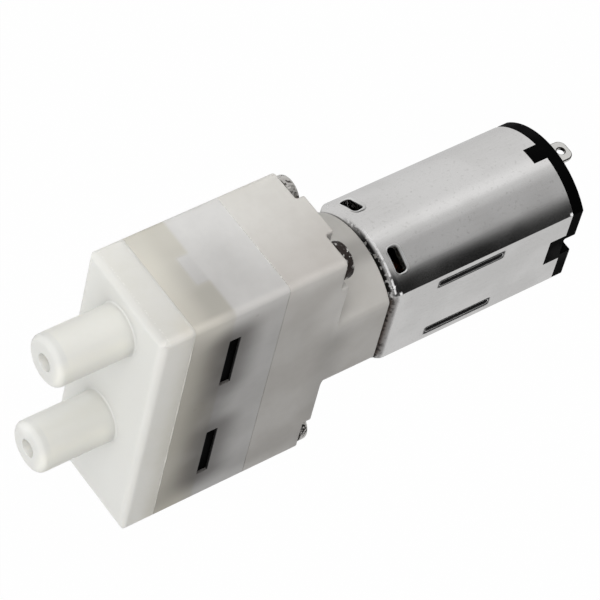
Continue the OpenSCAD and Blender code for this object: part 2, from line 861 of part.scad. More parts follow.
// one block of copper around each pole, round where it lies under the pole shoe
module windings() {
    coil_end = armature_len + coil_out;
    color(copper_tone) place() for (k = [0 : 2]) rotate([0, 0, 120 * k])
        difference() {
            intersection() {
                box(-coil_w / 2, coil_w / 2, core_r + fit_gap, shoe_in, w_core - coil_out,
                    w_core + coil_end);
                rod(shoe_in - 2 * fit_gap, w_core - coil_out - cut, w_core + coil_end + cut);
            }
            box(-pole_w / 2, pole_w / 2, 0, armature_d, w_core, w_core_end);
        }
}

module commutator_core() {
    color(black_plastic) place() difference() {
        union() {
            rod(commutator_d / 2 - segment_t, w_comm, w_comm + comm_len);
            rod(commutator_d / 2 + comm_lip, w_comm, w_comm + comm_lip_t);
        }
        rod(shaft_r, w_comm - cut, w_comm + comm_len + cut);
    }
}

module commutator_segments() {
    color(copper_tone) place() difference() {
        sleeve(commutator_d / 2, commutator_d / 2 - segment_t, w_comm + comm_lip_t,
            w_comm + comm_len);
        for (k = [0 : 2]) rotate([0, 0, 60 + 120 * k])
            box(-segment_gap / 2, segment_gap / 2, 0, commutator_d, w_comm,
                w_comm + comm_len + cut);
    }
}

module thrust_washers() {
    color(white_house) place() {
        sleeve(front_washer_r, shaft_r, w_can + can_wall + bearing_stand + end_play,
            w_core - coil_out - 2 * fit_gap);
        sleeve(rear_washer_r, shaft_r, w_comm + comm_len, w_rear_bearing - end_play);
    }
}

module eccentric_wheel() {
    color(white_house) place() difference() {
        rod(wheel_d / 2, w_wheel, w_wheel + wheel_t);
        tilted() rod(pin_d / 2, hub_back - cut, pin_back);
        rod(shaft_r, w_shaft, w_wheel + wheel_t + cut);
    }
}

module eccentric_pin() {
    color(screw_steel) place() tilted() rod(pin_d / 2, pin_front, pin_back);
}

module rocker() {
    color(cool_white) place() tilted() difference() {
        union() {
            box(-arm_w / 2, arm_w / 2, -chamber_y, chamber_y, arm_front, arm_back);
            each_chamber() {
                rod(arm_end_d / 2, arm_front, arm_back);
                rod(crown_d / 2 - pad_inset, fit_gap, arm_back);
            }
            rod(hub_d / 2, arm_front, hub_back);
        }
        each_chamber() rod(neck_d / 2 + fit_gap, -cut, arm_back + cut);
        rod(pin_d / 2 + run_gap, arm_front + hub_end_wall, hub_back + cut);
    }
}

front_cover();
valve_plate();
inlet_valves();
outlet_valves();
diaphragm();
diaphragm_frame();
crank_housing();
housing_screws();
motor_screws();
motor_can();
magnets();
front_bearing();
rear_bearing();
end_cap();
brushes();
terminals();
motor_shaft();
armature_core();
windings();
commutator_core();
commutator_segments();
thrust_washers();
eccentric_wheel();
eccentric_pin();
rocker();
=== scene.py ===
"""Looks of a miniature two chamber diaphragm air pump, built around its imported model.

Lengths are metres in the part's own frame: the nozzles point to +X, the block's long side runs
along Y, and the part lies on its lower flat at Z = 0.
"""

import logging
import math
from dataclasses import dataclass, replace
from enum import Enum
from typing import Callable, Iterable, Sequence, Union

import bmesh
import bpy
import numpy as np
from mathutils import Matrix, Vector


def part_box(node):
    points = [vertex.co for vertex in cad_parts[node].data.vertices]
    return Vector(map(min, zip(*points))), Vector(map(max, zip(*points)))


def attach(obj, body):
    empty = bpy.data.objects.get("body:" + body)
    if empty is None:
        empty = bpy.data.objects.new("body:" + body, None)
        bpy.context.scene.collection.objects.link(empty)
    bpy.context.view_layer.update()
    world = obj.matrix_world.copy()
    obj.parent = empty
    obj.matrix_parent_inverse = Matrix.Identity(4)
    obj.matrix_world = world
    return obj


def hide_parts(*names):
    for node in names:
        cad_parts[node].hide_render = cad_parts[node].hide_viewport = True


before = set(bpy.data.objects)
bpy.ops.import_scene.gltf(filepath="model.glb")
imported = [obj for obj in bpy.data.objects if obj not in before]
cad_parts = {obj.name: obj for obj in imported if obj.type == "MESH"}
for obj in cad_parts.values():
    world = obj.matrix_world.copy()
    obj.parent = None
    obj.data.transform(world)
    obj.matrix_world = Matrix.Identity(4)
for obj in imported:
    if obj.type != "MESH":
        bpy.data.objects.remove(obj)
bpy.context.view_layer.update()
LOG = logging.getLogger("diaphragm_pump")
MM = 0.001
# A half size that reaches past the part on every side
WIDE = 50 * MM
# How far off a plane an edge still counts as lying on it
NEAR = 0.01 * MM
UP = np.array([0.0, 0.0, 1.0])
AHEAD = np.array([1.0, 0.0, 0.0])

Colour = tuple[float, float, float, float]
Point = tuple[float, float, float]
Pair = tuple[float, float]
Source = Union[bpy.types.NodeSocket, float, Sequence[float]]


def paint(red: int, green: int, blue: int) -> Colour:
    """Turns a colour as a screen shows it, 0 to 255, into the linear colour a shader takes.

    Args:
        red: Screen value of red.
        green: Screen value of green.
        blue: Screen value of blue.

    Returns:
        The linear colour with full alpha.
    """
    share = np.array([red, green, blue], float) / 255
    linear = np.where(share <= 0.04045, share / 12.92, ((share + 0.055) / 1.055) ** 2.4)
    return (*(float(x) for x in linear), 1.0)


def mm(*lengths: float) -> tuple[float, ...]:
    """Turns lengths in millimetres into metres."""
    return tuple(length * MM for length in lengths)


def span(first: float, last: float) -> Pair:
    """Gives the middle and the half length of a stretch between two places."""
    return (first + last) / 2, abs(last - first) / 2


def rounded(across: float, along: float, corner: float, count: int) -> np.ndarray:
    """Gives the outline of a rounded rectangle: a corner circle pushed out to four corners.

    Args:
        across: Its half width.
        along: Its half length.
        corner: The corners' radius.
        count: How many points it has.

    Returns:
        The points, count by 2: (c cos t + sign(cos t) (a - c), c sin t + sign(sin t) (l - c)).
    """
    turn = np.linspace(0, 2 * np.pi, count, endpoint=False) + np.pi / count
    ring = np.stack([np.cos(turn), np.sin(turn)], axis=1)
    return corner * ring + np.sign(ring) * (np.array([across, along]) - corner)


def spoke(turn: float) -> tuple[np.ndarray, np.ndarray]:
    """Gives the directions away from the motor's axis and across it, at an angle in degrees."""
    angle = math.radians(turn)
    return (np.array([0.0, math.cos(angle), math.sin(angle)]),
            np.array([0.0, -math.sin(angle), math.cos(angle)]))


def laid(middle: Point, turn: float, far: Union[float, np.ndarray],
         outline: np.ndarray) -> np.ndarray:
    """Lays an outline round the motor's axis.

    Args:
        middle: The place on the axis under the outline's middle.
        turn: The outline's direction from the axis, in degrees.
        far: Its distance from the axis, one for all of its points or one for each.
        outline: Its points, across the axis and along it.

    Returns:
        The points: middle + far * out + across * over + along * ahead.
    """
    out, over = spoke(turn)
    across, along = outline.T
    return (np.array(middle) + np.outer(far * np.ones(len(outline)), out)
            + np.outer(across, over) + np.outer(along, AHEAD))


class Sum(Enum):
    """Operations of the Math and the Vector Math node that the materials use."""

    ADD = "ADD"
    SUBTRACT = "SUBTRACT"
    MULTIPLY = "MULTIPLY"
    DIVIDE = "DIVIDE"
    MINIMUM = "MINIMUM"
    MAXIMUM = "MAXIMUM"
    ABSOLUTE = "ABSOLUTE"
    LENGTH = "LENGTH"
    DOT_PRODUCT = "DOT_PRODUCT"


class Bench:
    """A node tree under construction, with short calls for the nodes it needs."""

    def __init__(self, tree: bpy.types.NodeTree) -> None:
        """Keeps the tree that nodes are added to."""
        self.tree = tree

    def node(self, kind: str, **settings: object) -> bpy.types.Node:
        """Adds a node of a kind and sets its properties."""
        made = self.tree.nodes.new(kind)
        for name, value in settings.items():
            setattr(made, name, value)
        return made

    def feed(self, value: Source, socket: bpy.types.NodeSocket) -> None:
        """Links an output to a socket, or sets the socket's own value."""
        if isinstance(value, bpy.types.NodeSocket):
            self.tree.links.new(value, socket)
        else:
            socket.default_value = value

    def maths(self, operation: Sum, first: Source, second: Source = 0.0) -> bpy.types.NodeSocket:
        """Adds a Math node and gives its result."""
        made = self.node("ShaderNodeMath", operation=operation.value)
        self.feed(first, made.inputs[0])
        self.feed(second, made.inputs[1])
        return made.outputs[0]

    def times(self, first: Source, second: Source) -> bpy.types.NodeSocket:
        """Multiplies two values."""
        return self.maths(Sum.MULTIPLY, first, second)

    def plus(self, first: Source, second: Source) -> bpy.types.NodeSocket:
        """Adds two values."""
        return self.maths(Sum.ADD, first, second)

    def vector(self, operation: Sum, first: Source,
               second: Source = (0.0, 0.0, 0.0)) -> bpy.types.NodeSocket:
        """Adds a Vector Math node and gives its vector, or its value for a length."""
        made = self.node("ShaderNodeVectorMath", operation=operation.value)
        self.feed(first, made.inputs[0])
        self.feed(second, made.inputs[1])
        single = operation in (Sum.LENGTH, Sum.DOT_PRODUCT)
        return made.outputs["Value" if single else "Vector"]

    def blend(self, share: Source, first: Source, second: Source) -> bpy.types.NodeSocket:
        """Mixes two colours by a share from 0 to 1."""
        made = self.node("ShaderNodeMix", data_type="RGBA")
        self.feed(share, made.inputs[0])
        self.feed(first, made.inputs[6])
        self.feed(second, made.inputs[7])
        return made.outputs[2]

    def ramp(self, value: Source, start: Source, end: Source, low: Source = 0.0,
             high: Source = 1.0) -> bpy.types.NodeSocket:
        """Maps a value from start..end to low..high on a smooth step."""
        made = self.node("ShaderNodeMapRange", interpolation_type="SMOOTHSTEP")
        for socket, source in zip(made.inputs[:5], (value, start, end, low, high)):
            self.feed(source, socket)
        return made.outputs[0]

    def noise(self, place: Source, scale: Source, detail: float = 2.0,
              rough: float = 0.5) -> bpy.types.NodeSocket:
        """Adds a Noise texture and gives its factor."""
        made = self.node("ShaderNodeTexNoise")
        self.feed(place, made.inputs["Vector"])
        self.feed(scale, made.inputs["Scale"])
        made.inputs["Detail"].default_value = detail
        made.inputs["Roughness"].default_value = rough
        return made.outputs[0]

    def fold(self, place: Source) -> bpy.types.NodeSocket:
        """Takes the absolute value of each coordinate."""
        return self.vector(Sum.ABSOLUTE, place)

    def split(self, place: Source) -> tuple[bpy.types.NodeSocket, ...]:
        """Gives the x, y and z of a vector."""
        made = self.node("ShaderNodeSeparateXYZ")
        self.feed(place, made.inputs[0])
        return tuple(made.outputs)

    def group(self, tree: bpy.types.NodeTree, **inputs: Source) -> bpy.types.Node:
        """Places a node group with its own values; spaces in names are written as _."""
        made = self.node("ShaderNodeGroup", node_tree=tree)
        for name, value in inputs.items():
            self.feed(value, made.inputs[name.replace("_", " ")])
        return made


@dataclass(frozen=True)
class Port:
    """One named input or output of a node group."""

    name: str
    kind: str = "NodeSocketFloat"
    value: Union[float, Point, None] = None


def node_group(name: str, inputs: Iterable[Port], outputs: Iterable[Port],
               wire: Callable[[Bench, bpy.types.Node, bpy.types.Node], None]
               ) -> bpy.types.NodeTree:
    """Builds a shader node group.

    Args:
        name: The group's name.
        inputs: Its input sockets.
        outputs: Its output sockets.
        wire: Fills the group, given its bench and its input and output nodes.

    Returns:
        The node group.
    """
    tree = bpy.data.node_groups.new(name, "ShaderNodeTree")
    for way, ports in (("INPUT", inputs), ("OUTPUT", outputs)):
        for port in ports:
            socket = tree.interface.new_socket(port.name, in_out=way, socket_type=port.kind)
            if port.value is not None:
                socket.default_value = port.value
    bench = Bench(tree)
    wire(bench, bench.node("NodeGroupInput"), bench.node("NodeGroupOutput"))
    return tree


def wire_grain(bench: Bench, given: bpy.types.Node, result: bpy.types.Node) -> None:
    """Mould grain: a fine and a coarse noise added as one height."""
    place, scale = given.outputs["Place"], given.outputs["Scale"]
    coarse = bench.noise(place, scale, detail=3.0, rough=0.6)
    fine = bench.noise(place, bench.times(scale, 4.3), detail=2.0)
    bench.feed(bench.plus(coarse, bench.times(fine, 0.45)), result.inputs["Height"])


def wire_cloud(bench: Bench, given: bpy.types.Node, result: bpy.types.Node) -> None:
    """Soft clouds from 0 to 1, for uneven colour and for smudges."""
    cloud = bench.noise(given.outputs["Place"], given.outputs["Scale"], detail=2.0, rough=0.45)
    bench.feed(bench.ramp(cloud, 0.36, 0.64), result.inputs["Mask"])


def wire_specks(bench: Bench, given: bpy.types.Node, result: bpy.types.Node) -> None:
    """Scattered round specks: the middle of some cells of a Voronoi pattern."""
    cells = bench.node("ShaderNodeTexVoronoi", feature="F1")
    bench.feed(given.outputs["Place"], cells.inputs["Vector"])
    bench.feed(given.outputs["Scale"], cells.inputs["Scale"])
    spot = bench.ramp(cells.outputs["Distance"], 0.05, 0.12, 1.0, 0.0)
    chosen = bench.split(cells.outputs["Color"])[0]
    few = bench.ramp(chosen, given.outputs["Rarity"], 1.0)
    bench.feed(bench.times(spot, few), result.inputs["Mask"])


def wire_edges(bench: Bench, given: bpy.types.Node, result: bpy.types.Node) -> None:
    """Nearness to a box's edges: on its surface, the second smallest distance to its planes."""
    away = bench.vector(Sum.SUBTRACT, given.outputs["Place"], given.outputs["Centre"])
    gap = bench.vector(Sum.SUBTRACT, given.outputs["Half size"], bench.fold(away))
    x, y, z = bench.split(gap)
    total = bench.plus(bench.plus(x, y), z)
    least = bench.maths(Sum.MINIMUM, bench.maths(Sum.MINIMUM, x, y), z)
    most = bench.maths(Sum.MAXIMUM, bench.maths(Sum.MAXIMUM, x, y), z)
    second = bench.maths(Sum.SUBTRACT, bench.maths(Sum.SUBTRACT, total, least), most)
    bench.feed(bench.ramp(second, 0.0, given.outputs["Width"], 1.0, 0.0), result.inputs["Mask"])


def wire_inner_box(bench: Bench, given: bpy.types.Node, result: bpy.types.Node) -> None:
    """How near a box lies: 1 at it and up to the core's share of the reach, 0 a reach away.

    The place is folded over the box's middle planes, so an offset box has a twin. The reach
    is given for each direction: distance = |max(|place| - half size, 0) / reach|.
    """
    away = bench.vector(Sum.SUBTRACT, given.outputs["Place"], given.outputs["Middle"])
    shifted = bench.vector(Sum.SUBTRACT, bench.fold(away), given.outputs["Offset"])
    beyond = bench.vector(Sum.SUBTRACT, bench.fold(shifted), given.outputs["Half size"])
    outside = bench.vector(Sum.MAXIMUM, beyond)
    gap = bench.vector(Sum.LENGTH, bench.vector(Sum.DIVIDE, outside, given.outputs["Reach"]))
    bench.feed(bench.ramp(gap, given.outputs["Core"], 1.0, 1.0, 0.0), result.inputs["Mask"])


VECTOR = "NodeSocketVector"
PLACE = Port("Place", VECTOR)
MASK = Port("Mask")


class Effects:
    """The node groups that several finishes share, each built once."""

    grain: bpy.types.NodeTree
    cloud: bpy.types.NodeTree
    specks: bpy.types.NodeTree
    edges: bpy.types.NodeTree
    inner_box: bpy.types.NodeTree

    @classmethod
    def build(cls) -> None:
        """Builds every group."""
        cls.grain = node_group("mould_grain", [PLACE, Port("Scale", value=3000.0)],
                               [Port("Height")], wire_grain)
        cls.cloud = node_group("cloud", [PLACE, Port("Scale", value=250.0)], [MASK], wire_cloud)
        cls.specks = node_group(
            "specks", [PLACE, Port("Scale", value=600.0), Port("Rarity", value=0.9)], [MASK],
            wire_specks)
        cls.edges = node_group(
            "box_edges", [PLACE, Port("Centre", VECTOR), Port("Half size", VECTOR),
                          Port("Width", value=0.0005)], [MASK], wire_edges)
        cls.inner_box = node_group(
            "inner_box", [PLACE, Port("Middle", VECTOR), Port("Offset", VECTOR),
                          Port("Half size", VECTOR), Port("Reach", VECTOR), Port("Core")],
            [MASK], wire_inner_box)


@dataclass(frozen=True)
class Finish:
    """A surface finish that builds one material."""

    name: str

    def material(self) -> bpy.types.Material:
        """Builds the material, or gives it back if it is there already.

        Returns:
            The material with this finish's nodes.
        """
        known = bpy.data.materials.get(self.name)
        if known:
            return known
        made = bpy.data.materials.new(self.name)
        made.use_nodes = True
        made.node_tree.nodes.clear()
        bench = Bench(made.node_tree)
        shader = bench.node("ShaderNodeBsdfPrincipled")
        output = bench.node("ShaderNodeOutputMaterial")
        bench.feed(shader.outputs[0], output.inputs["Surface"])
        place = bench.node("ShaderNodeTexCoord").outputs["Object"]
        self.wire(bench, shader, place)
        return made

    def wire(self, bench: Bench, shader: bpy.types.Node, place: bpy.types.NodeSocket) -> None:
        """Fills the material's nodes; each finish has its own."""
        raise NotImplementedError


def bump(bench: Bench, shader: bpy.types.Node, height: Source, depth: float) -> None:
    """Turns a height into the shader's normal.

    Args:
        bench: The material's bench.
        shader: The Principled shader.
        height: The height, about 0 to 1.
        depth: What a height of 1 stands for, in metres.
    """
    made = bench.node("ShaderNodeBump")
    made.inputs["Strength"].default_value = 1.0
    made.inputs["Distance"].default_value = depth
    bench.feed(height, made.inputs["Height"])
    bench.feed(made.outputs[0], shader.inputs["Normal"])


@dataclass(frozen=True)
class Zone:
    """A box whose colour shows on a surface near it and fades over its reach.

    The reach is one length or one for each direction, and the core is the share of it that
    doesn't fade. With an offset the box has twins, mirrored at the middle's planes; with
    dots the colour is broken into dots of about that spacing.
    """

    middle: Point
    half_size: Point
    reach: Union[float, Point]
    strength: float
    # By default a zone's colour is the dark warm grey of painted shade.
    colour: Colour = paint(62, 56, 52)
    offset: Point = (0.0, 0.0, 0.0)
    core: float = 0.0
    dots: float = 0.0
    fill: float = 0.5

    def share(self, bench: Bench, place: Source) -> bpy.types.NodeSocket:
        """Adds the nodes that give the zone's share at a place.

        Args:
            bench: The material's bench.
            place: The surface's place.

        Returns:
            The share, 0 away from the zone and up to its strength inside it.
        """
        reach = self.reach if isinstance(self.reach, tuple) else (self.reach,) * 3
        box = bench.group(Effects.inner_box, Place=place, Middle=self.middle,
                          Offset=self.offset, Half_size=self.half_size, Reach=reach,
                          Core=self.core)
        share = bench.times(box.outputs["Mask"], self.strength)
        if self.dots:
            # The noise mostly lies between 0.32 and 0.68, so a fill of 1 takes nearly all
            least = 0.68 - 0.36 * self.fill
            dotted = bench.ramp(bench.noise(place, 1.0 / self.dots, 1.0), least, least + 0.1)
            share = bench.times(share, dotted)
        return share


def zone_coloured(bench: Bench, place: Source, colour: Source, zones: Iterable[Zone]) -> Source:
    """Lays the colours of zones, tints and painted light and shade, over a colour, one after
    another.
    """
    for zone in zones:
        colour = bench.blend(zone.share(bench, place), colour, zone.colour)
    return colour


@dataclass(frozen=True)
class MouldedPlastic(Finish):
    """Milky injection moulded plastic, translucent, with painted light along its edges."""

    colour: Colour
    shade: Colour
    # The edge colour, its width and its strength give a painted highlight along the box's edges,
    # for light shining through the thin plastic.
    edge: Colour
    centre: Point
    half_size: Point
    edge_width: float = 0.3 * MM
    edge_strength: float = 0.8
    roughness: float = 0.45
    depth: float = 0.8 * MM
    translucency: float = 0.5
    cloudiness: float = 0.35
    zones: tuple[Zone, ...] = ()

    def wire(self, bench: Bench, shader: bpy.types.Node, place: bpy.types.NodeSocket) -> None:
        """Clouds, zones of tint and of painted light and shade, painted edge highlights and dust
        over the base colour; grain as bump.
        """
        cloud = bench.group(Effects.cloud, Place=place, Scale=210.0).outputs["Mask"]
        flow = bench.group(Effects.cloud, Place=place, Scale=1300.0).outputs["Mask"]
        faint = bench.times(bench.plus(cloud, bench.times(flow, 0.5)), self.cloudiness)
        colour = bench.blend(faint, self.colour, self.shade)
        colour = zone_coloured(bench, place, colour, self.zones)
        # Painted highlight: the colour turns paler near the box's edges.
        edges = bench.group(Effects.edges, Place=place, Centre=self.centre,
                            Half_size=self.half_size, Width=self.edge_width)
        share = bench.times(edges.outputs["Mask"], self.edge_strength)
        colour = bench.blend(share, colour, self.edge)
        dust = bench.group(Effects.specks, Place=place, Scale=420.0, Rarity=0.93)
        share = bench.times(dust.outputs["Mask"], 0.35)
        colour = bench.blend(share, colour, paint(120, 112, 104))
        bench.feed(colour, shader.inputs["Base Color"])
        rough = bench.ramp(cloud, 0.0, 1.0, self.roughness - 0.05, self.roughness + 0.07)
        bench.feed(rough, shader.inputs["Roughness"])
        shader.inputs["Subsurface Weight"].default_value = self.translucency
        shader.inputs["Subsurface Radius"].default_value = (1.0, 0.97, 0.92)
        shader.inputs["Subsurface Scale"].default_value = self.depth
        shader.inputs["IOR"].default_value = 1.48
        grain = bench.group(Effects.grain, Place=place, Scale=1600.0).outputs["Height"]
        bump(bench, shader, grain, 0.004 * MM)


def moulded(name: str, node: str, colour: Colour, shade: Colour, edge: Colour,
            **more: object) -> MouldedPlastic:
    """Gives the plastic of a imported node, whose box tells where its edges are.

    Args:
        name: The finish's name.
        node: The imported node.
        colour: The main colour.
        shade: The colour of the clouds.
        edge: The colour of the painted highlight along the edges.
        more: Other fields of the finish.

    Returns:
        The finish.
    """
    low, high = (np.array(corner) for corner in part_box(node))
    return MouldedPlastic(name, colour, shade, edge, tuple((low + high) / 2),
                          tuple((high - low) / 2), **more)


@dataclass(frozen=True)
class DarkPlastic(Finish):
    """Black moulded plastic or rubber with a fine grain and a trace of dust."""

    colour: Colour
    dusty: Colour
    roughness: float = 0.4
    grain_depth: float = 0.006 * MM
    shine: float = 0.4
    zones: tuple[Zone, ...] = ()

    def wire(self, bench: Bench, shader: bpy.types.Node, place: bpy.types.NodeSocket) -> None:
        """Black with paler dust clouds and zones; the grain is bump."""
        cloud = bench.group(Effects.cloud, Place=place, Scale=320.0).outputs["Mask"]
        colour = bench.blend(bench.times(cloud, 0.5), self.colour, self.dusty)
        colour = zone_coloured(bench, place, colour, self.zones)
        bench.feed(colour, shader.inputs["Base Color"])
        rough = bench.ramp(cloud, 0.0, 1.0, self.roughness, self.roughness + 0.18)
        bench.feed(rough, shader.inputs["Roughness"])
        shader.inputs["Specular IOR Level"].default_value = self.shine
        grain = bench.group(Effects.grain, Place=place, Scale=2600.0).outputs["Height"]
        bump(bench, shader, grain, self.grain_depth)


@dataclass(frozen=True)
class BareMetal(Finish):
    """Metal or plating with streaks along one direction, smudges and pits."""

    colour: Colour
    tarnish: Colour
    roughness: float
    streak_scale: Point
    streak_depth: float = 0.001 * MM
    tarnish_share: float = 0.3
    smudge_rough: float = 0.12
    edge_tint: float = 0.8
    crumple: float = 0.0
    # Zones of dirt and of painted shade, highlights and glints; where they lie the metal is less
    # metallic and rougher.
    dirt_and_painted_light: tuple[Zone, ...] = ()

    def wire(self, bench: Bench, shader: bpy.types.Node, place: bpy.types.NodeSocket) -> None:
        """Streaks, smudges, pits and the zones of dirt and painted light change colour and
        roughness; streaks are bump too.
        """
        stretched = bench.vector(Sum.MULTIPLY, place, self.streak_scale)
        streaks = bench.noise(stretched, 1.0, detail=4.0, rough=0.6)
        cloud = bench.group(Effects.cloud, Place=place, Scale=190.0).outputs["Mask"]
        share = bench.times(bench.times(streaks, cloud), self.tarnish_share)
        colour = bench.blend(share, self.colour, self.tarnish)
        pits = bench.group(Effects.specks, Place=place, Scale=900.0, Rarity=0.9).outputs["Mask"]
        colour = bench.blend(bench.times(pits, 0.5), colour, self.tarnish)
        grain = bench.noise(place, 3200.0, detail=3.0, rough=0.7)
        colour = bench.blend(bench.ramp(grain, 0.55, 0.75, 0.0, 0.3), colour, self.tarnish)
        uncovered: Source = 1.0
        for zone in self.dirt_and_painted_light:
            share = zone.share(bench, place)
            colour = bench.blend(share, colour, zone.colour)
            uncovered = bench.times(uncovered, bench.maths(Sum.SUBTRACT, 1.0, share))
        bench.feed(colour, shader.inputs["Base Color"])
        bench.feed(uncovered, shader.inputs["Metallic"])
        shader.inputs["Specular IOR Level"].default_value = 0.15
        shader.inputs["Specular Tint"].default_value = (*([self.edge_tint] * 3), 1.0)
        uneven = bench.plus(bench.times(cloud, 0.6), bench.times(streaks, 0.4))
        rough = bench.ramp(uneven, 0.1, 0.9, self.roughness, self.roughness + self.smudge_rough)
        dull = bench.times(bench.maths(Sum.SUBTRACT, 1.0, uncovered), 0.4)
        bench.feed(bench.plus(rough, dull), shader.inputs["Roughness"])
        folds = bench.noise(place, 2300.0, detail=1.0)
        height = bench.plus(streaks, bench.times(folds, self.crumple))
        bump(bench, shader, height, self.streak_depth)


def cad_copy(node: str, name: str) -> bpy.types.Object:
    """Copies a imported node's mesh into a new piece, with its triangles merged into faces.

    Args:
        node: The node to copy.
        name: The new piece's name.

    Returns:
        The new object, without material or body.
    """
    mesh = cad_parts[node].data.copy()
    mesh.name = name
    mesh.materials.clear()
    for attribute in ("custom_normal", "sharp_edge", "sharp_face"):
        if attribute in mesh.attributes:
            mesh.attributes.remove(mesh.attributes[attribute])
    work = bmesh.new()
    work.from_mesh(mesh)
    bmesh.ops.remove_doubles(work, verts=work.verts, dist=0.0005 * MM)
    bmesh.ops.dissolve_limit(work, angle_limit=math.radians(0.5), verts=work.verts,
                             edges=work.edges, delimit={"NORMAL"})
    work.to_mesh(mesh)
    work.free()
    mesh.shade_smooth()
    piece = bpy.data.objects.new(name, mesh)
    bpy.context.scene.collection.objects.link(piece)
    return piece


def soften(piece: bpy.types.Object, width: float,
           wider: Callable[[np.ndarray], np.ndarray] = lambda middles: np.ones(len(middles)),
           clamp: bool = True) -> None:
    """Rounds a piece's sharp edges, some of them more than others.

    Args:
        piece: The piece.
        width: The widest rounding, in metres.
        wider: Gives each edge's share of that width, 0 to 1, from the edges' middles.
        clamp: Keeps roundings from running into each other.
    """
    least_angle = math.radians(25.0)
    facets = 3
    mesh = piece.data
    work = bmesh.new()
    work.from_mesh(mesh)
    work.edges.ensure_lookup_table()
    turns = np.array([edge.calc_face_angle(0.0) for edge in work.edges])
    work.free()
    places = np.empty(len(mesh.vertices) * 3)
    mesh.vertices.foreach_get("co", places)
    ends = np.empty(len(mesh.edges) * 2, dtype=np.int32)
    mesh.edges.foreach_get("vertices", ends)
    middles = places.reshape(-1, 3)[ends.reshape(-1, 2)].mean(axis=1)
    weights = np.where(turns > least_angle, wider(middles), 0.0)
    held = mesh.attributes.new("bevel_weight_edge", "FLOAT", "EDGE")
    held.data.foreach_set("value", weights.astype(np.float32))
    sharp = mesh.attributes.new("sharp_edge", "BOOLEAN", "EDGE")
    sharp.data.foreach_set("value", (turns > least_angle) & (weights == 0.0))
    modifier = piece.modifiers.new("edges", "BEVEL")
    modifier.width = width
    modifier.segments = facets
    modifier.limit_method = "WEIGHT"
    modifier.harden_normals = True
    modifier.use_clamp_overlap = clamp
    modifier.miter_outer = "MITER_ARC"


@dataclass(frozen=True)
class Sheet:
    """A grid of points, rows by columns by 3, that may close on itself either way."""

    points: np.ndarray
    rows_close: bool = True
    columns_close: bool = True


@dataclass(frozen=True)
class Tube:
    """A circle carried along a path, thicker or thinner from point to point.

    With t the path's direction and n = t x up, the point at angle b on the circle is
    path + radius * (cos b * n + sin b * (n x t)).
    """

    path: np.ndarray
    up: np.ndarray
    radius: np.ndarray
    closed: bool = True
    sides: int = 12

    def sheet(self) -> Sheet:
        """Gives the tube's surface; an open one ends in a pole where its radius is nought."""
        ahead = np.gradient(self.path, axis=0)
        if self.closed:
            ahead = np.roll(self.path, -1, axis=0) - np.roll(self.path, 1, axis=0)
        ahead /= np.linalg.norm(ahead, axis=1)[:, None]
        level = np.cross(ahead, self.up)
        level /= np.linalg.norm(level, axis=1)[:, None]
        rise = np.cross(level, ahead)
        turn = np.linspace(0, 2 * np.pi, self.sides, endpoint=False)
        ring = (np.cos(turn)[None, :, None] * level[:, None]
                + np.sin(turn)[None, :, None] * rise[:, None])
        return Sheet(self.path[:, None] + self.radius[:, None, None] * ring, self.closed)


def sheet_piece(name: str, sheets: Sequence[Sheet]) -> bpy.types.Object:
    """Makes one object of sheets.

    Args:
        name: The object's name.
        sheets: The sheets, each turned so that its faces look outward.

    Returns:
        The object, shaded smooth.
    """
    points, faces, start = [], [], 0
    for sheet in sheets:
        rows, columns = sheet.points.shape[:2]
        index = np.arange(rows * columns).reshape(rows, columns) + start
        ahead, beside = np.roll(index, -1, axis=0), np.roll(index, -1, axis=1)
        quads = np.stack([index, ahead, np.roll(ahead, -1, axis=1), beside], axis=-1)
        quads = quads[:rows if sheet.rows_close else -1,
                      :columns if sheet.columns_close else -1]
        faces.append(quads.reshape(-1, 4))
        points.append(sheet.points.reshape(-1, 3))
        start += rows * columns
    mesh = bpy.data.meshes.new(name)
    mesh.from_pydata(np.concatenate(points).tolist(), [], np.concatenate(faces).tolist())
    work = bmesh.new()
    work.from_mesh(mesh)
    bmesh.ops.remove_doubles(work, verts=work.verts, dist=0.0001 * MM)
    if all(sheet.columns_close for sheet in sheets):
        bmesh.ops.recalc_face_normals(work, faces=work.faces)
    work.to_mesh(mesh)
    work.free()
    mesh.shade_smooth()
    piece = bpy.data.objects.new(name, mesh)
    bpy.context.scene.collection.objects.link(piece)
    return piece


class Body(Enum):
    """The bodies that new pieces ride on; the rocker's own node is only dressed."""

    PUMP = "pump"
    ROTOR = "rotor"


def settle(piece: bpy.types.Object, finish: Finish, body: Body, node: str) -> None:
    """Gives a new piece its finish and body, and puts it in a node's place.

    Args:
        piece: The new object.
        finish: Its finish.
        body: The body it rides on.
        node: The node it stands for, which is hidden.
    """
    piece.data.materials.clear()
    piece.data.materials.append(finish.material())
    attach(piece, body.value)
    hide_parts(node)
    LOG.info("%s stands for %s on %s", piece.name, node, body.value)


def dress(node: str, finish: Finish) -> None:
    """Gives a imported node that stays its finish."""
    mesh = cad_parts[node].data
    mesh.materials.clear()
    mesh.materials.append(finish.material())
    LOG.info("%s keeps its shape, finish %s", node, finish.name)


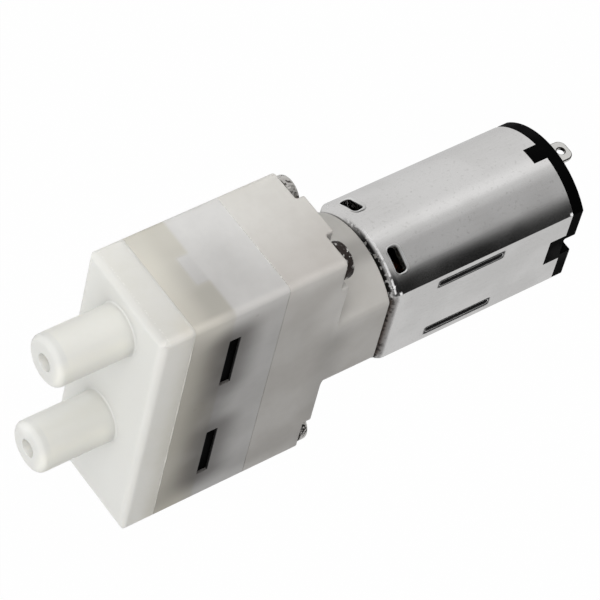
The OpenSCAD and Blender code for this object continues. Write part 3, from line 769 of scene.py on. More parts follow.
@dataclass
class Studio:
    """Camera, floor, lamps and surroundings, as the photograph has them."""

    eye: Point = mm(164.35, -274.84, 157.28)
    aim: Point = mm(4.84, -8.16, 10.08)
    roll: float = 140.98
    lens: float = 229.24
    floor_half: float = 1.6
    floor_drop: float = 0.01 * MM
    lamp_away: float = 0.6
    lamp_width: float = 0.4
    wall_light: float = 1.60
    sky_light: float = 0.33

    def camera(self) -> None:
        """Sets the camera at the photograph's place, with its roll about the line of sight."""
        eye, aim = Vector(self.eye), Vector(self.aim)
        ahead = (aim - eye).normalized()
        level = ahead.cross(Vector((0, 0, 1))).normalized()
        top = level.cross(ahead)
        turn = math.radians(self.roll)
        right = level * math.cos(turn) + top * math.sin(turn)
        up = top * math.cos(turn) - level * math.sin(turn)
        data = bpy.data.cameras.new("photo_camera")
        data.lens = self.lens
        data.clip_start, data.clip_end = 0.02, 20.0
        camera = bpy.data.objects.new("photo_camera", data)
        camera.matrix_world = Matrix.Translation(eye) @ Matrix(
            (right, up, -ahead)).transposed().to_4x4()
        bpy.context.scene.collection.objects.link(camera)
        bpy.context.scene.camera = camera

    def floor(self) -> None:
        """Lays the white floor, which shows white and still takes a faint shadow.

        Metal shows it brightest beside the part and dimmer further off.
        """
        half, level = self.floor_half, -self.floor_drop
        mesh = bpy.data.meshes.new("floor")
        mesh.from_pydata([(-half, -half, level), (half, -half, level), (half, half, level),
                          (-half, half, level)], [], [(0, 1, 2, 3)])
        made = bpy.data.materials.new("white_floor")
        made.use_nodes = True
        made.node_tree.nodes.clear()
        bench = Bench(made.node_tree)
        matt = bench.node("ShaderNodeBsdfDiffuse")
        matt.inputs["Color"].default_value = (0.97, 0.97, 0.97, 1.0)
        glow = bench.node("ShaderNodeEmission")
        path = bench.node("ShaderNodeLightPath")
        place = bench.node("ShaderNodeTexCoord").outputs["Object"]
        away = bench.split(bench.fold(place))[1]
        near = bench.ramp(away, 16 * MM, 30 * MM, 0.9, 1.06)
        shown = bench.times(near, bench.ramp(away, 45 * MM, 150 * MM, 1.0, 0.68))
        bench.feed(bench.ramp(path.outputs["Is Glossy Ray"], 0.0, 1.0, 1.0, shown),
                   glow.inputs["Strength"])
        seen = bench.maths(Sum.MAXIMUM, path.outputs["Is Camera Ray"],
                           bench.maths(Sum.MAXIMUM, path.outputs["Is Glossy Ray"],
                                       path.outputs["Is Transmission Ray"]))
        mixed = bench.node("ShaderNodeMixShader")
        bench.feed(bench.times(seen, 0.985), mixed.inputs[0])
        bench.feed(matt.outputs[0], mixed.inputs[1])
        bench.feed(glow.outputs[0], mixed.inputs[2])
        bench.feed(mixed.outputs[0], bench.node("ShaderNodeOutputMaterial").inputs["Surface"])
        mesh.materials.append(made)
        floor = bpy.data.objects.new("floor", mesh)
        bpy.context.scene.collection.objects.link(floor)

    def surroundings(self) -> None:
        """White to the camera; to metal a bright horizon with a dark ring above it."""
        world = bpy.data.worlds.new("studio")
        world.use_nodes = True
        world.node_tree.nodes.clear()
        bench = Bench(world.node_tree)
        toward = bench.node("ShaderNodeTexCoord").outputs["Generated"]
        _, side, height = bench.split(toward)
        ring = bench.ramp(height, 0.53, 0.76, 1.0, 0.012)
        overhead = bench.ramp(height, 0.94, 0.99, 0.0, 0.8)
        level = bench.ramp(side, 0.1, 0.75, 0.52, 0.82)
        low = bench.ramp(height, -0.2, 0.22, 1.0, level)
        metal = bench.maths(Sum.MAXIMUM, bench.times(low, ring), overhead)
        path = bench.node("ShaderNodeLightPath")
        shiny = bench.maths(Sum.MAXIMUM, path.outputs["Is Glossy Ray"],
                            path.outputs["Is Transmission Ray"])
        sunward = bench.vector(Sum.DOT_PRODUCT, toward, (0.66, -0.75, 0.0))
        facing = bench.ramp(sunward, -0.4, 0.5, 0.15, 1.0)
        band = bench.ramp(height, 0.2, 0.75, self.wall_light, 0.0)
        plain = bench.plus(bench.times(band, facing), self.sky_light)
        seen = bench.node("ShaderNodeMix", data_type="FLOAT")
        bench.feed(shiny, seen.inputs[0])
        bench.feed(plain, seen.inputs[2])
        bench.feed(metal, seen.inputs[3])
        strength = bench.maths(Sum.MAXIMUM, seen.outputs[0], path.outputs["Is Camera Ray"])
        back = bench.node("ShaderNodeBackground")
        back.inputs["Color"].default_value = (1.0, 1.0, 1.0, 1.0)
        bench.feed(strength, back.inputs["Strength"])
        bench.feed(back.outputs[0], bench.node("ShaderNodeOutputWorld").inputs["Surface"])
        bpy.context.scene.world = world

    def lamp(self, name: str, toward: Point, power: float) -> None:
        """Hangs one soft square lamp that faces the part.

        Args:
            name: The lamp's name.
            toward: Direction from the part to the lamp.
            power: Its power in watts.
        """
        data = bpy.data.lights.new(name, "AREA")
        data.energy = power
        data.size = self.lamp_width
        lamp = bpy.data.objects.new(name, data)
        direction = Vector(toward).normalized()
        lamp.location = direction * self.lamp_away
        lamp.rotation_mode = "QUATERNION"
        lamp.rotation_quaternion = direction.to_track_quat("Z", "Y")
        lamp.visible_glossy = False
        lamp.visible_camera = False
        bpy.context.scene.collection.objects.link(lamp)

    def build(self) -> None:
        """Sets up everything that isn't the pump."""
        self.camera()
        self.floor()
        self.surroundings()
        self.lamp("front_lamp", (0.95, -0.30, 0.20), 0.55)
        self.lamp("side_lamp", (0.20, -0.97, 0.20), 0.30)
        bpy.context.scene.view_settings.view_transform = "Standard"
        LOG.info("studio is set")


class Tone:
    """Colours of the moulded layers."""

    PLATE = paint(211, 208, 198)
    FRAME = paint(223, 222, 220)
    FRAME_SHADE = paint(212, 211, 209)
    HOUSING = paint(223, 221, 216)
    HOUSING_SHADE = paint(211, 208, 202)
    PALE_DOTS = paint(250, 249, 245)


class Assembly:
    """A sub-assembly whose heights are counted from the motor's axis."""

    mid_z: float

    def at(self, x: float, y: float = 0.0, up: float = 0.0) -> Point:
        """Gives a place by its x, its y and its height above the axis."""
        return x, y, self.mid_z + up


@dataclass
class PumpBlock(Assembly):
    """The moulded layers of the pump with their rubber and screws."""

    parting_round: float = 0.05 * MM
    soft_round: float = 0.45 * MM
    cover_round: float = 0.32 * MM
    screw_round: float = 0.06 * MM
    flange: float = 1.2 * MM
    window_pitch: float = 6.9 * MM
    window_half: float = 3.25 * MM
    cover: float = 3.5 * MM
    collar: float = 6.0 * MM
    collar_half: float = 7.3 * MM
    hollow_half: float = 11.5 * MM
    tongue_len: float = 1.35 * MM
    tongue_half: float = 1.7 * MM
    nozzles_middle: float = -3.45 * MM
    nozzles_half: float = 6.45 * MM
    nozzle_r: float = 2.55 * MM
    fillet: float = 0.2 * MM
    bore: float = 0.9 * MM

    def __post_init__(self) -> None:
        """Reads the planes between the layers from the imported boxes."""
        low, high = (np.array(corner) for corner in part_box("valve_plate"))
        self.frame_x, self.plate_x = float(low[0]), float(high[0])
        self.front = self.plate_x + self.cover
        self.mid_z = float(low[2] + high[2]) / 2
        self.half_t = float(high[2]) - self.mid_z
        self.half_w = float(high[1])
        self.walls = (0.0, self.half_w, 0.0)
        self.rear = float(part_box("crank_housing")[0][0]) + self.collar
        self.house_x = float(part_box("crank_housing")[1][0])

    def housing_edges(self, middles: np.ndarray) -> np.ndarray:
        """Rounds the collar's long edges most, the rear rim less, and the front plane least."""
        x = middles[:, 0]
        shares = np.full(len(middles), 0.45)
        shares[x < self.rear - 0.5 * MM] = 1.0
        shares[x < self.rear - self.collar + 0.2 * MM] = 0.3
        shares[x > self.house_x - 0.3 * MM] = self.parting_round / self.soft_round
        return shares

    def outer_edges(self, middles: np.ndarray) -> np.ndarray:
        """Leaves the edges on the planes between plate, frame and cover sharp."""
        x = middles[:, 0]
        between = (x > self.frame_x - NEAR) & (x < self.frame_x + self.tongue_len + NEAR)
        return np.where(between | (x > self.plate_x - NEAR), 0.0, 1.0)

    def cover_edges(self, middles: np.ndarray) -> np.ndarray:
        """Rounds the cover's outer front edges most and leaves its rear plane sharp."""
        x, y, z = middles.T
        outer = (np.abs(y) > self.half_w - NEAR) | (np.abs(z - self.mid_z) > self.half_t - NEAR)
        shares = np.where(outer & (x > self.front - NEAR), 1.0, 0.2)
        return np.where(x < self.plate_x + NEAR, 0.0, shares)

    def hollow(self, first: float, last: float, half_w: float, strength: float) -> Zone:
        """Gives the shade of the dark hollow inside a stretch of the block."""
        middle, half = span(first, last)
        return Zone(self.at(middle), (half, half_w, self.half_t - 0.4 * MM), 3.0 * MM, strength)

    def dim_sides(self, broad: float, narrow: float, tint: Colour) -> tuple[Zone, ...]:
        """Gives the loss of light on the upper broad side and near it on the narrow ones.

        Args:
            broad: How much the broad side loses.
            narrow: How much the narrow sides lose at their upper edge.
            tint: The colour it is lost to.

        Returns:
            The two painted losses of light, and a painted lit end and a painted shaded end of the
            broad side.
        """
        top = self.mid_z + self.half_t
        ends = mm(1, 7, 1)
        return (Zone((0.0, 0.0, top), (WIDE, WIDE, 0.0), 11 * MM, broad, tint),
                Zone((0.0, 0.0, top), (WIDE, 0.02 * MM, 0.0), mm(1, 0.6, 11), narrow, tint,
                     offset=self.walls),
                Zone((0.0, -self.half_w, top), (WIDE, MM, 0.0), ends, 0.28, paint(252, 248, 242)),
                Zone((0.0, self.half_w, top), (WIDE, 0.5 * MM, 0.0), ends, 0.14))

    def rubber(self) -> tuple[Zone, ...]:
        """Gives the shades of the rubber flange, of its four windows and of their walls."""
        windows = (0.0, self.window_pitch, 0.0)
        half = self.flange / 2
        return (Zone(self.at(self.frame_x + 0.8 * MM),
                     (0.3 * MM, 9.8 * MM, self.half_t - 0.9 * MM), mm(3.6, 3.5, 3.5), 0.62),
                Zone(self.at(self.frame_x - 0.8 * MM), (half, self.window_half, self.half_t),
                     3.2 * MM, 0.65, offset=windows),
                Zone(self.at(self.frame_x - half), (half, self.window_half, WIDE), 0.07 * MM,
                     0.94, paint(8, 8, 8), offset=windows),
                Zone(self.at(self.frame_x - MM, up=MM), mm(1.5, 0, 1), mm(3, 0.2, 3.5), 0.13,
                     offset=self.walls))

    def joined_layers(self) -> tuple[Zone, ...]:
        """Gives plate and frame one look that changes softly where their tongues interlock.

        Returns:
            The plate's tint ahead of the tongues and beside them, half of its blur on each
            side of the joint; its painted loss of light on the narrow sides; a painted shade on
            the narrow sides beside the tongues; painted light near the cover on the narrow sides
            and on the upper broad side.
        """
        blur, strip = 0.5 * MM, 5 * MM
        start = self.frame_x + blur / 2
        ahead, ahead_half = span(start + self.tongue_len, self.plate_x)
        beside, beside_half = span(start, self.plate_x)
        return (Zone(self.at(ahead), (ahead_half, WIDE, WIDE), blur, 0.95, Tone.PLATE),
                Zone(self.at(beside), (beside_half, WIDE, strip), blur, 0.95, Tone.PLATE,
                     offset=(0.0, 0.0, self.tongue_half + blur / 2 + strip)),
                Zone(self.at(beside, up=self.half_t), (beside_half, 0.02 * MM, 0.0),
                     (blur, 0.6 * MM, 11 * MM), 0.15, offset=self.walls),
                Zone(self.at(self.frame_x + MM), mm(0.4, 0.02, 1.6), mm(1.8, 0.6, 1), 0.07,
                     paint(70, 64, 48), offset=(0.0, self.half_w, 4.2 * MM)),
                Zone(self.at(self.plate_x, up=2 * MM), mm(0, 0.02, 3), mm(2.6, 0.6, 5), 0.4,
                     paint(244, 240, 226), offset=self.walls),
                Zone(self.at(self.plate_x, up=self.half_t), (2.2 * MM, WIDE, 0.0),
                     mm(2.2, 1, 1), 0.5, paint(240, 234, 216)))

    def joint_fill(self) -> bpy.types.Object:
        """Builds the skin of flash that closes the narrow gap round each tongue.

        It is a flat band: the tongue's outline pushed out and in by a share s of its width.
        The outline's corners are (0 or length + s, -half - s or half + s).
        """
        push = np.linspace(-1.0, 1.0, 3)[None, :] * 0.11 * MM
        reach = np.array([0.0, 1.0, 1.0, 0.0])[:, None]
        side = np.array([-1.0, -1.0, 1.0, 1.0])[:, None]
        ahead = self.frame_x + reach * (self.tongue_len + push)
        level = self.mid_z + side * (self.tongue_half + push)
        sheets = []
        for wall in (-1, 1):
            points = np.stack([ahead, np.full_like(ahead, wall * (self.half_w - 0.012 * MM)),
                               level], axis=-1)
            sheets.append(Sheet(points[::wall], rows_close=False, columns_close=False))
        return sheet_piece("joint_fill", sheets)

    def cover_zones(self) -> tuple[Zone, ...]:
        """Gives the cover's zones of colour and of painted light and shade.

        A painted warm shade at the rear of the upper side; the plain front; painted glow over the
        nozzles, their upper sides, the side of the second nozzle that faces the first, and their
        bores; a painted bright band along the front of the upper side; painted loss of light on
        the sides; a dotted pale line behind the front rounding.
        """
        twins = (0.0, self.nozzles_half, 0.0)
        middle = self.nozzles_middle
        beside = middle + self.nozzles_half - 2.4 * MM
        return (Zone(self.at(self.plate_x, up=self.half_t), (0.0, WIDE, 0.5 * MM), 2.6 * MM,
                     0.25, paint(226, 214, 186)),
                Zone(self.at(self.front + 5 * MM), (5 * MM, WIDE, WIDE), 1.2 * MM, 1.0,
                     paint(227, 227, 223)),
                Zone(self.at(self.front - MM, up=self.half_t), (0.6 * MM, WIDE, 0.0),
                     mm(1.6, 1, 1), 0.32, paint(255, 253, 246)),
                Zone(self.at(self.front + 3.5 * MM, middle), mm(3, 0, 0), mm(1.2, 2.8, 2.8), 0.6,
                     paint(236, 235, 228), offset=twins, core=0.93),
                Zone(self.at(self.front + 4.7 * MM, middle, 3.4 * MM), mm(3.1, 0.8, 0.2),
                     mm(1.6, 1.9, 2.3), 1.0, paint(255, 253, 242), offset=twins),
                Zone(self.at(self.front + 4.5 * MM, beside, -1.8 * MM), mm(3.2, 0.4, 0.8),
                     mm(1.2, 1.6, 1.6), 0.6, paint(252, 252, 248)),
                Zone(self.at(self.front + 4 * MM, middle), mm(4, 0, 0),
                     (0.01 * MM, 1.03 * self.bore, 1.03 * self.bore), 0.9, paint(253, 252, 246),
                     offset=twins, core=0.97),
                *self.dim_sides(0.0, 0.14, paint(76, 58, 40))[:3],
                # A dotted pale line along the narrow sides, just behind the front rounding.
                Zone(self.at(self.front - 0.8 * MM), (0.0, 0.4 * MM, WIDE), 0.12 * MM, 0.4,
                     Tone.PALE_DOTS, offset=self.walls, dots=0.22 * MM))

    def flash_lines(self) -> bpy.types.Object:
        """Builds the thin moulding flash along the cover's rear edge on both broad sides.

        The path is straight across the block; its radius is about 0.07 mm with a slow waver
        from two sines, and ends at nought.
        """
        along = np.linspace(-1.0, 1.0, 161)
        waver = 0.8 + 0.15 * np.sin(23 * along) + 0.05 * np.sin(71 * along + 1.0)
        radius = 0.085 * MM * waver * np.sqrt(np.clip(1 - along ** 8, 0.0, 1.0))
        tubes = []
        for side in (-1, 1):
            level = self.mid_z + side * (self.half_t - 0.01 * MM)
            path = np.stack([np.full_like(along, self.plate_x + 0.05 * MM),
                             along * (self.half_w - 0.6 * MM), np.full_like(along, level)], axis=1)
            tubes.append(Tube(path, UP, radius, closed=False))
        return sheet_piece("cover_flash", [tube.sheet() for tube in tubes])

    def fillets(self) -> bpy.types.Object:
        """Builds the hollow fillets at the nozzles' roots.

        At angle a round the nozzle and angle b on the fillet of radius f, the distance from
        the nozzle's axis is r + f (1 - sin b) and the height above the face f (1 - cos b).
        """
        turn = np.linspace(0, 2 * np.pi, 96, endpoint=False)[:, None]
        bend = np.linspace(0, np.pi / 2, 9)[None, :]
        skin = 0.004 * MM
        out = self.nozzle_r - skin + self.fillet * (1 - np.sin(bend))
        high = self.fillet * (1 - np.cos(bend)) - skin
        sheets = []
        for side in (-1, 1):
            middle = self.nozzles_middle + side * self.nozzles_half
            points = np.stack(np.broadcast_arrays(self.front + high + 0 * turn,
                                                  middle + out * np.cos(turn),
                                                  self.mid_z + out * np.sin(turn)), axis=-1)
            sheets.append(Sheet(points, columns_close=False))
        return sheet_piece("nozzle_fillets", sheets)

    def collar_zones(self) -> tuple[Zone, ...]:
        """Gives the shade beside the screw on the collar and the light below it."""
        middle, half = span(self.rear - self.collar, self.rear)
        return (Zone(self.at(middle, -7.2 * MM, 1.2 * MM), (half, 0.0, 0.4 * MM),
                     mm(1, 1.6, 1.6), 0.28),
                Zone(self.at(middle, -5.4 * MM, 4.8 * MM), (half, 0.8 * MM, 0.8 * MM),
                     mm(1, 2.6, 2.6), 0.17, paint(248, 245, 238)))

    def seam_zones(self) -> tuple[Zone, ...]:
        """Gives the parting line of frame and housing: light dots at the sides, dark on top."""
        return (Zone(self.at(self.house_x, up=self.half_t), (0.0, WIDE, 0.02 * MM), 0.12 * MM,
                     0.28, paint(110, 104, 98)),
                Zone(self.at(self.house_x), (0.0, 0.4 * MM, WIDE), 0.14 * MM, 0.6, Tone.PALE_DOTS,
                     offset=self.walls, dots=0.24 * MM))

    def rear_zones(self) -> tuple[Zone, ...]:
        """Gives a painted lit end and a painted shaded end of the housing's rear rim."""
        return (Zone(self.at(self.rear, -7 * MM, self.half_t), mm(0.5, 1, 0), mm(4, 4, 1), 0.3,
                     paint(252, 249, 244)),
                Zone(self.at(self.rear, self.half_w, self.half_t), mm(0, 1, 0), mm(3, 3, 1),
                     0.25))

    def finishes(self) -> dict[str, MouldedPlastic]:
        """Gives each layer's finish; plate and frame share one, so their joint stays soft."""
        solid = {"translucency": 0.0, "edge_strength": 0.0}
        both = moulded(
            "plate_and_frame", "diaphragm_frame", Tone.FRAME, Tone.FRAME_SHADE, Tone.FRAME,
            zones=(*self.joined_layers(), *self.dim_sides(0.15, 0.12, paint(76, 64, 58)),
                   self.hollow(self.rear, self.plate_x, self.hollow_half, 0.29),
                   *self.rubber(), *self.seam_zones()), **solid)
        cover = moulded(
            "milky_cover", "front_cover", paint(231, 230, 225), paint(224, 223, 215),
            paint(250, 247, 238), edge_strength=0.5, depth=1.0 * MM, zones=self.cover_zones())
        housing = moulded(
            "white_housing", "crank_housing", Tone.HOUSING, Tone.HOUSING_SHADE, Tone.HOUSING,
            zones=(*self.dim_sides(0.16, 0.18, paint(88, 60, 46)),
                   self.hollow(self.rear, self.frame_x, self.hollow_half, 0.25),
                   self.hollow(self.rear - self.collar, self.rear, self.collar_half, 0.20),
                   *self.collar_zones(), *self.seam_zones(), *self.rear_zones()), **solid)
        return {"front_cover": cover, "valve_plate": both, "diaphragm_frame": both,
                "crank_housing": housing}

    def mouldings(self) -> None:
        """Builds the four layers, the cover's flash and fillets, and the joint's skin."""
        layers = self.finishes()
        rounding = {"front_cover": (self.cover_round, self.cover_edges),
                    "valve_plate": (self.parting_round, self.outer_edges),
                    "diaphragm_frame": (self.parting_round, self.outer_edges),
                    "crank_housing": (self.soft_round, self.housing_edges)}
        for node, (width, rule) in rounding.items():
            piece = cad_copy(node, node + "_moulding")
            soften(piece, width, rule, clamp=node != "crank_housing")
            settle(piece, layers[node], Body.PUMP, node)
        cover = layers["front_cover"]
        flash = replace(cover, name="cover_flash", zones=(), colour=paint(252, 248, 236),
                        shade=paint(240, 232, 212))
        settle(self.flash_lines(), flash, Body.PUMP, "front_cover")
        root = replace(cover, name="cover_root", translucency=0.0)
        settle(self.fillets(), root, Body.PUMP, "front_cover")
        settle(self.joint_fill(), layers["diaphragm_frame"], Body.PUMP, "diaphragm_frame")

    def screws(self) -> None:
        """Builds the block screws, bright steel with dark brown dots of rust and painted shade and
        with painted glints, and dresses the inner ones.
        """
        # Dark brown dots, partly rust and partly painted shade: thick over the upper parts of the
        # heads on the -Y side, thin over the lower parts of all heads.
        rust_and_shade = paint(30, 18, 14)
        upper = Zone(self.at(self.rear + 0.3 * MM, -self.half_w, 4 * MM), mm(0.9, 8, 3.5),
                     0.2 * MM, 0.97, rust_and_shade, dots=0.5 * MM, fill=0.92)
        lower = Zone(self.at(self.rear + 0.3 * MM, 0.0, -4 * MM), (0.9 * MM, WIDE, 3.5 * MM),
                     0.2 * MM, 0.85, rust_and_shade, dots=0.4 * MM, fill=0.3)
        # Painted glints: a few pale dots along the heads' rear edge.
        spark = Zone(self.at(self.rear - 0.2 * MM, 0.0, 4 * MM), (0.5 * MM, WIDE, 3.5 * MM),
                     0.2 * MM, 0.9, paint(236, 235, 232), dots=0.34 * MM, fill=0.12)
        steel = BareMetal("screw_steel", paint(206, 204, 200), paint(60, 46, 38), 0.12,
                          (2500.0, 900.0, 900.0), streak_depth=0.05 * MM, tarnish_share=0.4,
                          crumple=4.0, dirt_and_painted_light=(upper, lower, spark))
        piece = cad_copy("housing_screws", "block_screws")
        soften(piece, self.screw_round)
        settle(piece, steel, Body.PUMP, "housing_screws")
        dress("motor_screws", steel)

    def build(self) -> None:
        """Builds and dresses all of the block's pieces."""
        self.mouldings()
        rubber = DarkPlastic("black_rubber", paint(2, 2, 2), paint(6, 5, 5), 0.7, shine=0.02)
        for node in ("diaphragm", "inlet_valves", "outlet_valves"):
            dress(node, rubber)
        self.screws()


@dataclass
class Motor(Assembly):
    """The motor's can, cap, lugs and inner pieces."""

    rim: float = 1.1 * MM
    round_r: float = 7.75 * MM
    flat_half: float = 6.1 * MM
    can_round: float = 0.07 * MM
    cap_round: float = 0.1 * MM
    lug_round: float = 0.09 * MM
    vent_turn: float = 28.0
    vent_half: Pair = mm(1.38, 0.68)
    vent_corner: float = 0.5 * MM
    vent_lead: float = 0.2 * MM
    vent_len: float = 1.2 * MM
    bead: float = 0.17 * MM
    slot_middle: float = 9.6 * MM
    slot_half: Pair = mm(3.8, 0.4)
    slot_place: float = 3.5 * MM
    lip: float = 0.05 * MM

    def __post_init__(self) -> None:
        """Reads the can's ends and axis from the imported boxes."""
        low, high = (np.array(corner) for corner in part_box("motor_can"))
        self.mid_z = float(low[2] + high[2]) / 2
        self.rear = float(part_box("motor_can")[0][0])
        self.front = float(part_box("crank_housing")[0][0])

    def can_edges(self, middles: np.ndarray) -> np.ndarray:
        """Rounds the slots' edges less than every other edge."""
        x, y, z = middles.T
        on_flat = (np.abs(z - self.mid_z) > self.flat_half - 2 * NEAR) & (np.abs(y) < 4.5 * MM)
        return np.where(on_flat & (x < self.front - 4 * MM), 0.4, 1.0)

    def dirt_and_painted_light(self) -> tuple[Zone, ...]:
        """Gives the dark, mottled band on the can's front rim, partly dirt and partly painted
        shade and dark reflection, with painted highlights and glints in it.

        Further zones paint shade inside and round the slots and a highlight beside one long edge
        of each, and painted glints near the creases' front ends and at their rear ends.
        """
        dark, brown, white = paint(20, 18, 17), paint(76, 64, 57), paint(250, 250, 250)
        front = self.at(self.front)
        flats = (0.0, 0.0, self.flat_half)
        wall = self.at(self.front - self.slot_middle)
        place = self.slot_place
        slot_len, slot_w = self.slot_half
        return (Zone(front, (0.02 * MM, WIDE, WIDE), 0.2 * MM, 0.85, dark),
                Zone(self.at(self.front, up=4 * MM), (0.25 * MM, WIDE, 3.0 * MM),
                     mm(0.3, 1, 4.5), 1.0, dark, dots=0.45 * MM, fill=0.85),
                Zone(front, mm(0.3, 3.9, 0.9), 0.9 * MM, 0.9, brown, offset=flats),
                Zone(front, mm(0.4, 4.3, 0.9), 0.6 * MM, 0.75, dark, offset=flats,
                     dots=0.4 * MM, fill=0.45),
                Zone(self.at(self.front - 0.6 * MM, up=2.8 * MM), (0.03 * MM, WIDE, 3.0 * MM),
                     0.1 * MM, 0.8, white, dots=0.5 * MM, fill=0.8),
                Zone(self.at(self.front - 0.55 * MM), mm(0.1, 0.12, 0.12), 0.26 * MM, 1.0, white,
                     offset=mm(0, 5.5, 5.4), dots=0.2 * MM, fill=0.35),
                Zone(self.at(self.front - 1.1 * MM), mm(0.05, 0.05, 0.05), 0.17 * MM, 1.0,
                     white, offset=mm(0, 4.85, 6.0)),
                Zone(self.at(self.rear + 0.1 * MM), mm(0.12, 0.1, 0.1), 0.16 * MM, 1.0, white,
                     offset=(0.0, 4.9 * MM, self.flat_half)),
                Zone(wall, (slot_len - 0.3 * MM, slot_w + 0.02 * MM, WIDE), mm(0.55, 0.2, 1),
                     0.96, paint(20, 20, 22), offset=(0.0, place + 0.05 * MM, 0.0), core=0.5),
                Zone(wall, (slot_len + 0.1 * MM, 0.0, WIDE), mm(0.3, 0.06, 1), 0.8,
                     paint(236, 236, 236), offset=(0.0, place + 0.68 * MM, 0.0)))

    def slot_lips(self) -> list[Tube]:
        """Gives the rolled lips inside the slots' openings.

        The path is a rounded rectangle whose corners meet, and the lip's top is level with
        the flat.
        """
        long_half, half = self.slot_half
        inner = half - 0.4 * self.lip
        across, along = rounded(inner, long_half - 0.4 * self.lip, inner, 96).T
        radius = np.full_like(along, self.lip)
        tubes = []
        for top in (-1, 1):
            for side in (-1, 1):
                level = self.mid_z + top * (self.flat_half - self.lip)
                path = np.stack([self.front - self.slot_middle + along,
                                 side * self.slot_place + across,
                                 np.full_like(along, level)], axis=1)
                tubes.append(Tube(path, UP, radius))
        return tubes

    def vent_beads(self) -> list[Tube]:
        """Gives the stamped beads round the four vents.

        The path is a rounded rectangle (a, l) laid on the round wall: height sqrt(R^2 - a^2)
        above the axis. A small circle, thicker towards the rear, is carried along it.
        """
        outline = rounded(*self.vent_half, self.vent_corner, 72)
        across, along = outline.T
        middle = self.at(self.front - self.rim - self.vent_lead - self.vent_len / 2)
        far = np.sqrt(self.round_r ** 2 - across ** 2)
        radius = self.bead * (0.75 - 0.35 * along / self.vent_half[1])
        return [Tube(laid(middle, turn, far, outline), spoke(turn)[0], radius)
                for side in (180.0, 0.0) for turn in (side - self.vent_turn,
                                                      side + self.vent_turn)]

    def build(self) -> None:
        """Builds and dresses all of the motor's pieces."""
        nickel = BareMetal("drawn_nickel", paint(216, 215, 214), paint(158, 156, 152), 0.19,
                           (260.0, 4200.0, 4200.0), tarnish_share=0.2, smudge_rough=0.06,
                           dirt_and_painted_light=self.dirt_and_painted_light())
        piece = cad_copy("motor_can", "nickel_can")
        soften(piece, self.can_round, self.can_edges)
        settle(piece, nickel, Body.PUMP, "motor_can")
        bright = BareMetal("stamped_nickel", paint(226, 226, 225), paint(120, 118, 114), 0.28,
                           (900.0, 900.0, 900.0), tarnish_share=0.4)
        lips = [tube.sheet() for tube in self.vent_beads() + self.slot_lips()]
        settle(sheet_piece("stamped_lips", lips), bright, Body.PUMP, "motor_can")
        # Painted sheen: the cap's rear face is a lighter grey than its rim, with paler dots over
        # it.
        area = (self.at(float(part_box("end_cap")[0][0])), mm(0.6, 7.0, 5.4))
        rear_sheen_and_dots = (Zone(*area, 0.25 * MM, 0.9, paint(44, 44, 46)),
                Zone(*area, 0.3 * MM, 0.5, paint(84, 82, 80), dots=0.5 * MM, fill=0.2))
        black = DarkPlastic("black_cap", paint(1, 1, 1), paint(4, 4, 4), 0.6, shine=0.04,
                            zones=rear_sheen_and_dots)
        piece = cad_copy("end_cap", "black_end_cap")
        soften(piece, self.cap_round)
        settle(piece, black, Body.PUMP, "end_cap")
        tinned = BareMetal("tinned_brass", paint(212, 211, 208), paint(110, 104, 96), 0.3,
                           (1500.0, 1500.0, 1500.0), tarnish_share=0.5)
        # Painted shade: the lug's rounded edges get a dark, rougher metal, darkening its outline
        # and its hole.
        edges = replace(tinned, name="lug_edges", colour=paint(70, 66, 62),
                        tarnish=paint(30, 28, 26), roughness=0.45)
        piece = cad_copy("terminals", "solder_lugs")
        soften(piece, self.lug_round)
        settle(piece, tinned, Body.PUMP, "terminals")
        piece.data.materials.append(edges.material())
        piece.modifiers["edges"].material = 1
        bronze = BareMetal("sintered_bronze", paint(168, 132, 88), paint(92, 70, 48), 0.42,
                           (3000.0, 3000.0, 3000.0))
        ferrite = DarkPlastic("ferrite", paint(52, 52, 55), paint(78, 77, 78), 0.55, 0.01 * MM)
        for node, finish in (("front_bearing", bronze), ("rear_bearing", bronze),
                             ("magnets", ferrite), ("brushes", ferrite)):
            dress(node, finish)


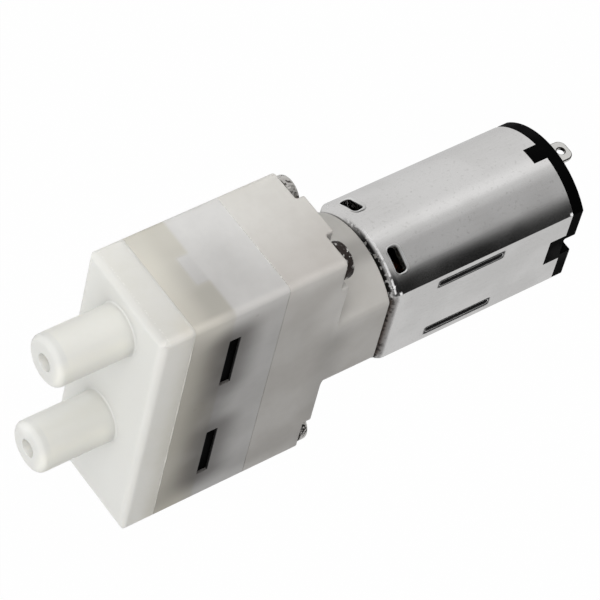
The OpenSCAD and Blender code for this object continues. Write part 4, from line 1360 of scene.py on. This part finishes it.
@dataclass
class Drive:
    """The turning and nodding pieces inside."""

    core_r: float = 2.05 * MM
    pole_half: float = 0.9 * MM
    stack_half: float = 5.25 * MM
    coil_corner: float = 0.2 * MM
    wire_d: float = 0.2 * MM
    layers: int = 4

    def coils(self) -> bpy.types.Object:
        """Builds the wire turns round the three poles.

        A turn is a rounded rectangle across its pole at the distance v from the axis, and a
        small circle is carried along it. Turn by turn v grows by the wire, and layer by layer
        the rectangle does; turns outside the winding's own radius are left out.
        """
        low, high = (np.array(corner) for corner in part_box("windings"))
        middle = ((low[0] + high[0]) / 2, 0.0, (low[2] + high[2]) / 2)
        wire = self.wire_d / 2
        limit = high[1] - wire
        tubes = []
        for turn in (0.0, 120.0, 240.0):
            for grown in (np.arange(self.layers) + 0.5) * self.wire_d:
                outline = rounded(self.pole_half + grown, self.stack_half + 1.4 * grown,
                                  self.coil_corner + grown, 32)
                places = np.arange(self.core_r + wire, limit, self.wire_d)
                for far in places[np.hypot(places, self.pole_half + grown) <= limit]:
                    path = laid(middle, turn, far, outline)
                    tubes.append(Tube(path, spoke(turn)[0], np.full(len(path), 0.96 * wire),
                                      sides=6))
        return sheet_piece("wire_turns", [tube.sheet() for tube in tubes])

    def build(self) -> None:
        """Dresses the rotor's and the rocker's pieces."""
        ground = BareMetal("ground_steel", paint(190, 190, 192), paint(120, 116, 110), 0.16,
                           (6000.0, 700.0, 700.0))
        sheets = BareMetal("laminations", paint(120, 120, 124), paint(62, 58, 54), 0.35,
                           (14000.0, 300.0, 300.0), streak_depth=0.01 * MM)
        # The copper is kept dark, partly as painted shade, so that the turns look dark through the
        # vents.
        copper = BareMetal("enamelled_copper", paint(92, 50, 30), paint(120, 58, 30), 0.26,
                           (5200.0, 5200.0, 400.0), streak_depth=0.02 * MM)
        segments = BareMetal("commutator_copper", paint(206, 138, 98), paint(128, 82, 56), 0.3,
                             (8000.0, 500.0, 500.0))
        phenolic = DarkPlastic("phenolic", paint(44, 34, 30), paint(66, 54, 48))
        settle(self.coils(), copper, Body.ROTOR, "windings")
        for node, finish in (("motor_shaft", ground), ("eccentric_pin", ground),
                             ("armature_core", sheets), ("commutator_segments", segments),
                             ("commutator_core", phenolic)):
            dress(node, finish)
        for node, colour in (("thrust_washers", paint(226, 225, 218)),
                             ("eccentric_wheel", paint(232, 231, 226)),
                             ("rocker", paint(214, 217, 221))):
            dress(node, moulded(node + "_plastic", node, colour, paint(204, 203, 198),
                                paint(238, 237, 233)))


def main() -> None:
    """Builds the scene in order: shared effects, studio, then each sub-assembly."""
    logging.basicConfig(level=logging.INFO, format="%(message)s")
    Effects.build()
    Studio().build()
    for assembly in (PumpBlock(), Motor(), Drive()):
        assembly.build()


if __name__ == "__main__":
    main()
